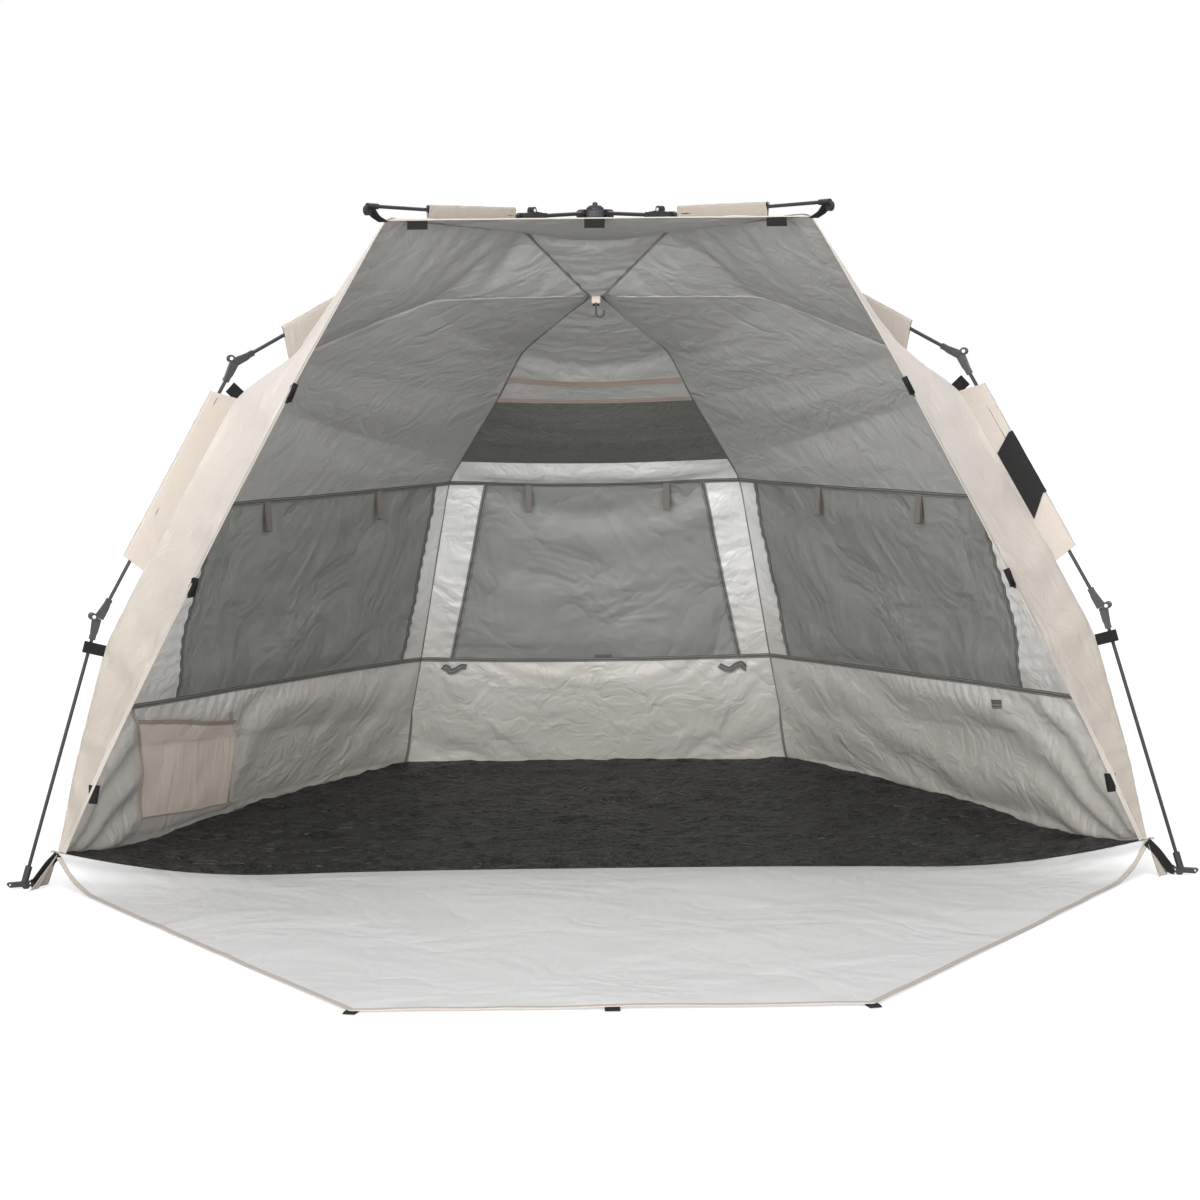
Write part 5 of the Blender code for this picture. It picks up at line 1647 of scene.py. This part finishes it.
def sleeve_piece(name, pole, section, rod_shares, panel, rows, column, body, node=None, wrap=0.0, reach=1.0):
    """A sleeve folded over a rod, its two layers sewn together along the seam under it.

    A label wraps such a sleeve at a small distance and reaches only part of the way down it.
    """
    start, end = pole.pins[section], pole.pins[section + 1]
    along = (end - start).normalized()
    count = max(6, round((rod_shares[1] - rod_shares[0]) * (end - start).length / SLEEVE_CELL))
    turns = SLEEVE_TURNS
    points, faces = [], []
    for n in range(count + 1):
        share = n / count
        centre = start.lerp(end, between(*rod_shares, share))
        foot = panel.at(between(*rows, share), column, CLOTH)
        down = (foot - centre) - along * (foot - centre).dot(along)
        down.normalize()
        across = along.cross(down)
        for k in range(turns + 1):
            turn = math.pi * k / turns
            radius = SLEEVE_RADIUS + wrap + 0.0014 * abs(noise.noise(centre * 30 + UP * turn))
            points.append(centre - down * radius * math.sin(turn) + across * radius * math.cos(turn))
        for side in (1, -1):
            for step in (0.35, 0.7, 1.0):
                low = step * reach
                width = (between(SLEEVE_RADIUS, CLOTH, low ** 0.8) + wrap) * side
                wave = 0.0015 * noise.noise(centre * 20 + UP * (low * 3 + side)) * math.sin(math.pi * low)
                points.append(centre.lerp(foot, low) + across * (width + wave))
    stride = turns + 7
    order = [turns + 3, turns + 2, turns + 1] + list(range(turns + 1)) + [turns + 4, turns + 5, turns + 6]
    for n in range(count):
        for a, b in zip(order, order[1:]):
            here, there = n * stride, (n + 1) * stride
            faces.append((here + a, here + b, there + b, there + a))
    around = {place: at for at, place in enumerate(order)}
    uvs = [(0.006 * around[n % stride], SLEEVE_CELL * (n // stride)) for n in range(len(points))]
    piece = piece_from(name, points, faces, uvs, (cloth("label_cloth" if wrap else "sleeve_cloth"),))
    outward_faces(piece)
    thicken(piece, CLOTH, offset=0.0, materials=1)
    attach(piece, body)
    middle = start.lerp(end, between(*rod_shares, 0.5))
    hang = panel.at(between(*rows, 0.5), column, CLOTH) - middle
    crumples(piece)
    if node:
        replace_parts(piece, node)
    return piece


def make_sleeves():
    """The sleeves over the rods, sewn to the canopy's seams."""
    poles, panels = TENT["poles"], TENT["panels"]
    for hand in ("right", "left"):
        side, wing, last = panels["side_" + hand], panels["wing_" + hand], WALL_COLUMNS["side_" + hand]
        front, rear, awning = poles["front_" + hand], poles["rear_" + hand], poles["awning_" + hand]
        table = (
            ("upper_sleeve_front_", front, 1, UPPER_SLEEVE_SHARES, side, (1, 2), 0, "upper_front_"),
            ("mid_sleeve_front_", front, 2, MID_SLEEVE_SHARES, side, (3, 5), 0, "mid_front_"),
            ("mid_sleeve_rear_", rear, 2, REAR_SLEEVE_SHARES, side, (4, 5), last, "mid_rear_"),
            ("awning_sleeve_", awning, 1, AWNING_SLEEVE_SHARES, wing, AWNING_SLEEVE_ROWS, 0, "awning_"),
        )
        for name, *places, body in table:
            sleeve_piece(name + "cloth_" + hand, *places, body + hand, name + hand)
        sleeve_piece(
            "upper_sleeve_rear_cloth_" + hand, rear, 1, REAR_UPPER_SLEEVE_SHARES,
            side, REAR_UPPER_SLEEVE_ROWS, last, "upper_rear_" + hand,
        )


def make_label():
    """The blank black label, folded round the right front leg's middle sleeve."""
    low, high = MID_SLEEVE_SHARES
    rows = [between(3, 5, (share - low) / (high - low)) for share in LABEL_SHARES]
    label = sleeve_piece(
        "blank_label", TENT["poles"]["front_right"], 2, LABEL_SHARES, TENT["panels"]["side_right"], rows, 0,
        "mid_front_right", wrap=LABEL_GAP, reach=0.93,
    )


# The frame's own finish

def make_frame():
    """Gives the hub, arms, knuckles, rods, feet and straps the finish of the real ones."""
    for name, node in frame["nodes"].items():
        material = rod_coating() if "_rod_" in name else moulded_plastic()
        if name == "apex_strap":
            material = webbing_plain()
        for slot in node.material_slots:
            slot.material = material


def near_pin(pin):
    """The points of the frame's arms, knuckles and rods close to a pin."""
    parts = ("arm_", "upper_", "mid_rod", "lower_", "awning_rod")
    points = [point for name in frame["nodes"] if name.startswith(parts) for point in node_points(name)]
    return [point for point in points if (point - pin).length < RIVET_REACH]


def make_rivets():
    """Domed rivet heads on both ends of every knuckle's pin."""
    for pole in TENT["poles"].values():
        for body, pin in list(zip(pole.bodies, pole.pins))[1:]:
            levels = [(point - pin).dot(pole.across) for point in near_pin(pin)]
            heads = []
            for side in (-1, 1):
                level = max(levels) if side > 0 else min(levels)
                bpy.ops.mesh.primitive_cylinder_add(
                    vertices=20, radius=RIVET_RADIUS, depth=2 * RIVET_HEIGHT,
                    location=pin + level * pole.across,
                    rotation=(side * pole.across).to_track_quat("Z", "Y").to_euler(),
                )
                head = bpy.context.object
                bpy.ops.object.mode_set(mode="EDIT")
                bpy.ops.mesh.select_all(action="SELECT")
                bpy.ops.mesh.bevel(offset=RIVET_HEIGHT * 0.9, segments=3)
                bpy.ops.object.mode_set(mode="OBJECT")
                bpy.ops.object.transform_apply()
                head.data.materials.append(rivet_steel())
                heads.append(head)
            rivet = joined("rivet_" + body, heads)
            select_only(rivet)
            bpy.ops.object.shade_smooth_by_angle(angle=math.radians(50))
            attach(rivet, body)


# Studio

def make_stage():
    """Floor, backdrop, soft lights, world and the photograph's camera."""
    bpy.ops.mesh.primitive_plane_add(size=60)
    floor = bpy.context.object
    floor.name = "studio_floor"
    floor.data.transform(Matrix.Translation((0, 0, -0.0005)))
    paper = {"Base Color": (*colours().paper, 1), "Roughness": 0.9, "Emission Color": (1, 1, 1, 1)}
    material, tree, shader = blank_material("studio_paper", paper)
    path = tree.add("ShaderNodeLightPath")
    place = tree.add("ShaderNodeTexCoord").outputs["Object"]
    away = tree.add("ShaderNodeVectorMath", {0: place}, operation="LENGTH").outputs["Value"]
    level = tree.add(
        "ShaderNodeMapRange",
        {"Value": away, "From Min": PAPER_GLOW_REACH[0], "From Max": PAPER_GLOW_REACH[1],
         "To Min": PAPER_GLOW[0], "To Max": PAPER_GLOW[1]},
    ).outputs["Result"]
    glow = tree.math("MULTIPLY", path.outputs["Is Camera Ray"], level)
    tree.feed(shader, "Emission Strength", glow)
    floor.data.materials.append(material)
    world = bpy.data.worlds.new("studio")
    bpy.context.scene.world = world
    world.use_nodes = True
    tree = Tree(world.node_tree)
    light = world.node_tree.nodes["Background"]
    path = tree.add("ShaderNodeLightPath").outputs
    seen = tree.math("MAXIMUM", path["Is Camera Ray"], path["Is Glossy Ray"])
    seen = tree.math("MAXIMUM", seen, path["Is Transmission Ray"])
    light.inputs["Color"].default_value = (1, 1, 1, 1)
    tree.feed(light, "Strength", tree.math("MULTIPLY_ADD", seen, 1 - WORLD_LEVEL, WORLD_LEVEL))
    for name, place, aim, size, power in LAMPS:
        lamp = bpy.data.lights.new(name, "AREA")
        lamp.shape, lamp.size, lamp.energy = "DISK", size, power
        holder = bpy.data.objects.new(name, lamp)
        bpy.context.collection.objects.link(holder)
        holder.location = place
        holder.rotation_euler = (Vector(aim) - Vector(place)).to_track_quat("-Z", "Y").to_euler()
    camera = bpy.data.cameras.new("camera")
    camera.lens = CAMERA_LENS
    camera.clip_end = 100
    holder = bpy.data.objects.new("camera", camera)
    bpy.context.collection.objects.link(holder)
    holder.location = CAMERA_PLACE
    turn = CAMERA_FORWARD.to_track_quat("-Z", "Y") @ Quaternion((0, 0, 1), CAMERA_ROLL)
    holder.rotation_euler = turn.to_euler()
    scene = bpy.context.scene
    scene.camera = holder
    scene.view_settings.view_transform = "Standard"


# Operators, panel and registration

class TentStep:
    """What every operator shares: it makes its piece or group of like pieces, or raises."""

    bl_options = {"REGISTER", "UNDO"}

    def execute(self, context):
        self.make()
        return {"FINISHED"}


class TENT_OT_settle(TentStep, bpy.types.Operator):
    """Lay out and settle the canopy's panels"""

    bl_idname = "tent.settle"
    bl_label = "Panels"
    make = staticmethod(make_panels)


class TENT_OT_walls(TentStep, bpy.types.Operator):
    """Sew the walls, wings and window meshes"""

    bl_idname = "tent.walls"
    bl_label = "Walls"
    make = staticmethod(make_walls)


class TENT_OT_roof(TentStep, bpy.types.Operator):
    """Sew the roof, vent and awning"""

    bl_idname = "tent.roof"
    bl_label = "Roof"
    make = staticmethod(make_roof)


class TENT_OT_tapes(TentStep, bpy.types.Operator):
    """Sew the tapes round the windows and along the seams"""

    bl_idname = "tent.tapes"
    bl_label = "Tapes"
    make = staticmethod(make_tapes)


class TENT_OT_hems(TentStep, bpy.types.Operator):
    """Bind the doorway's edges"""

    bl_idname = "tent.hems"
    bl_label = "Hems"
    make = staticmethod(make_hems)


class TENT_OT_loops(TentStep, bpy.types.Operator):
    """Hang the loops that tie the rolled covers"""

    bl_idname = "tent.loops"
    bl_label = "Loops"
    make = staticmethod(make_loops)


class TENT_OT_tabs(TentStep, bpy.types.Operator):
    """Sew the black tabs on the edges and walls"""

    bl_idname = "tent.tabs"
    bl_label = "Tabs"
    make = staticmethod(make_tabs)


class TENT_OT_pocket(TentStep, bpy.types.Operator):
    """Sew the pocket on the left wall"""

    bl_idname = "tent.pocket"
    bl_label = "Pocket"
    make = staticmethod(make_pocket)


class TENT_OT_straps(TentStep, bpy.types.Operator):
    """Tie the canopy to the feet, rods and awning tips"""

    bl_idname = "tent.straps"
    bl_label = "Straps"
    make = staticmethod(make_straps)


class TENT_OT_apex_loop(TentStep, bpy.types.Operator):
    """Hang the loop over the hook's strap"""

    bl_idname = "tent.apex_loop"
    bl_label = "Apex loop"
    make = staticmethod(make_apex_loop)


class TENT_OT_foot_line(TentStep, bpy.types.Operator):
    """Sew the line where the walls meet the floor"""

    bl_idname = "tent.foot_line"
    bl_label = "Foot line"
    make = staticmethod(make_foot_line)


class TENT_OT_floor(TentStep, bpy.types.Operator):
    """Lay the crinkled floor"""

    bl_idname = "tent.floor"
    bl_label = "Floor"
    make = staticmethod(make_floor)


class TENT_OT_porch(TentStep, bpy.types.Operator):
    """Lay the porch and bind its edge"""

    bl_idname = "tent.porch"
    bl_label = "Porch"
    make = staticmethod(make_porch)


class TENT_OT_porch_tabs(TentStep, bpy.types.Operator):
    """Sew the peg tabs under the porch's front edge"""

    bl_idname = "tent.porch_tabs"
    bl_label = "Porch tabs"
    make = staticmethod(make_porch_tabs)


class TENT_OT_covers(TentStep, bpy.types.Operator):
    """Hang the window covers"""

    bl_idname = "tent.covers"
    bl_label = "Covers"
    make = staticmethod(make_covers)


class TENT_OT_sleeves(TentStep, bpy.types.Operator):
    """Fold the sleeves over the rods"""

    bl_idname = "tent.sleeves"
    bl_label = "Sleeves"
    make = staticmethod(make_sleeves)


class TENT_OT_label(TentStep, bpy.types.Operator):
    """Fold the blank label round its sleeve"""

    bl_idname = "tent.label"
    bl_label = "Label"
    make = staticmethod(make_label)


class TENT_OT_frame(TentStep, bpy.types.Operator):
    """Finish the folding frame's own pieces"""

    bl_idname = "tent.frame"
    bl_label = "Frame finish"
    make = staticmethod(make_frame)


class TENT_OT_rivets(TentStep, bpy.types.Operator):
    """Put rivet heads on the knuckles' pins"""

    bl_idname = "tent.rivets"
    bl_label = "Rivets"
    make = staticmethod(make_rivets)


class TENT_OT_stage(TentStep, bpy.types.Operator):
    """Set up the floor, lights and camera"""

    bl_idname = "tent.stage"
    bl_label = "Studio"
    make = staticmethod(make_stage)


OPERATORS = (
    TENT_OT_settle,
    TENT_OT_walls,
    TENT_OT_roof,
    TENT_OT_tapes,
    TENT_OT_hems,
    TENT_OT_loops,
    TENT_OT_tabs,
    TENT_OT_pocket,
    TENT_OT_straps,
    TENT_OT_apex_loop,
    TENT_OT_foot_line,
    TENT_OT_floor,
    TENT_OT_porch,
    TENT_OT_porch_tabs,
    TENT_OT_covers,
    TENT_OT_sleeves,
    TENT_OT_label,
    TENT_OT_frame,
    TENT_OT_rivets,
    TENT_OT_stage,
)


class TENT_PT_build(bpy.types.Panel):
    """Lists the tent's steps and sizes in the sidebar."""

    bl_label = "Beach Tent"
    bl_idname = "TENT_PT_build"
    bl_space_type = "VIEW_3D"
    bl_region_type = "UI"
    bl_category = "Tent"

    def draw(self, context):
        for operator in OPERATORS:
            self.layout.operator(operator.bl_idname)
        for group in (context.scene.tent_sizes, context.scene.tent_colours):
            for name in group.bl_rna.properties.keys():
                if name not in ("rna_type", "name"):
                    self.layout.prop(group, name)


CLASSES = (TentSizes, TentColours, *OPERATORS, TENT_PT_build)


def register():
    for item in CLASSES:
        bpy.utils.register_class(item)
    bpy.types.Scene.tent_sizes = PointerProperty(type=TentSizes)
    bpy.types.Scene.tent_colours = PointerProperty(type=TentColours)


def unregister():
    del bpy.types.Scene.tent_sizes
    del bpy.types.Scene.tent_colours
    for item in reversed(CLASSES):
        bpy.utils.unregister_class(item)


def main():
    register()
    for operator in OPERATORS:
        group, name = operator.bl_idname.split(".")
        getattr(getattr(bpy.ops, group), name)()


if __name__ == "__main__":
    main()
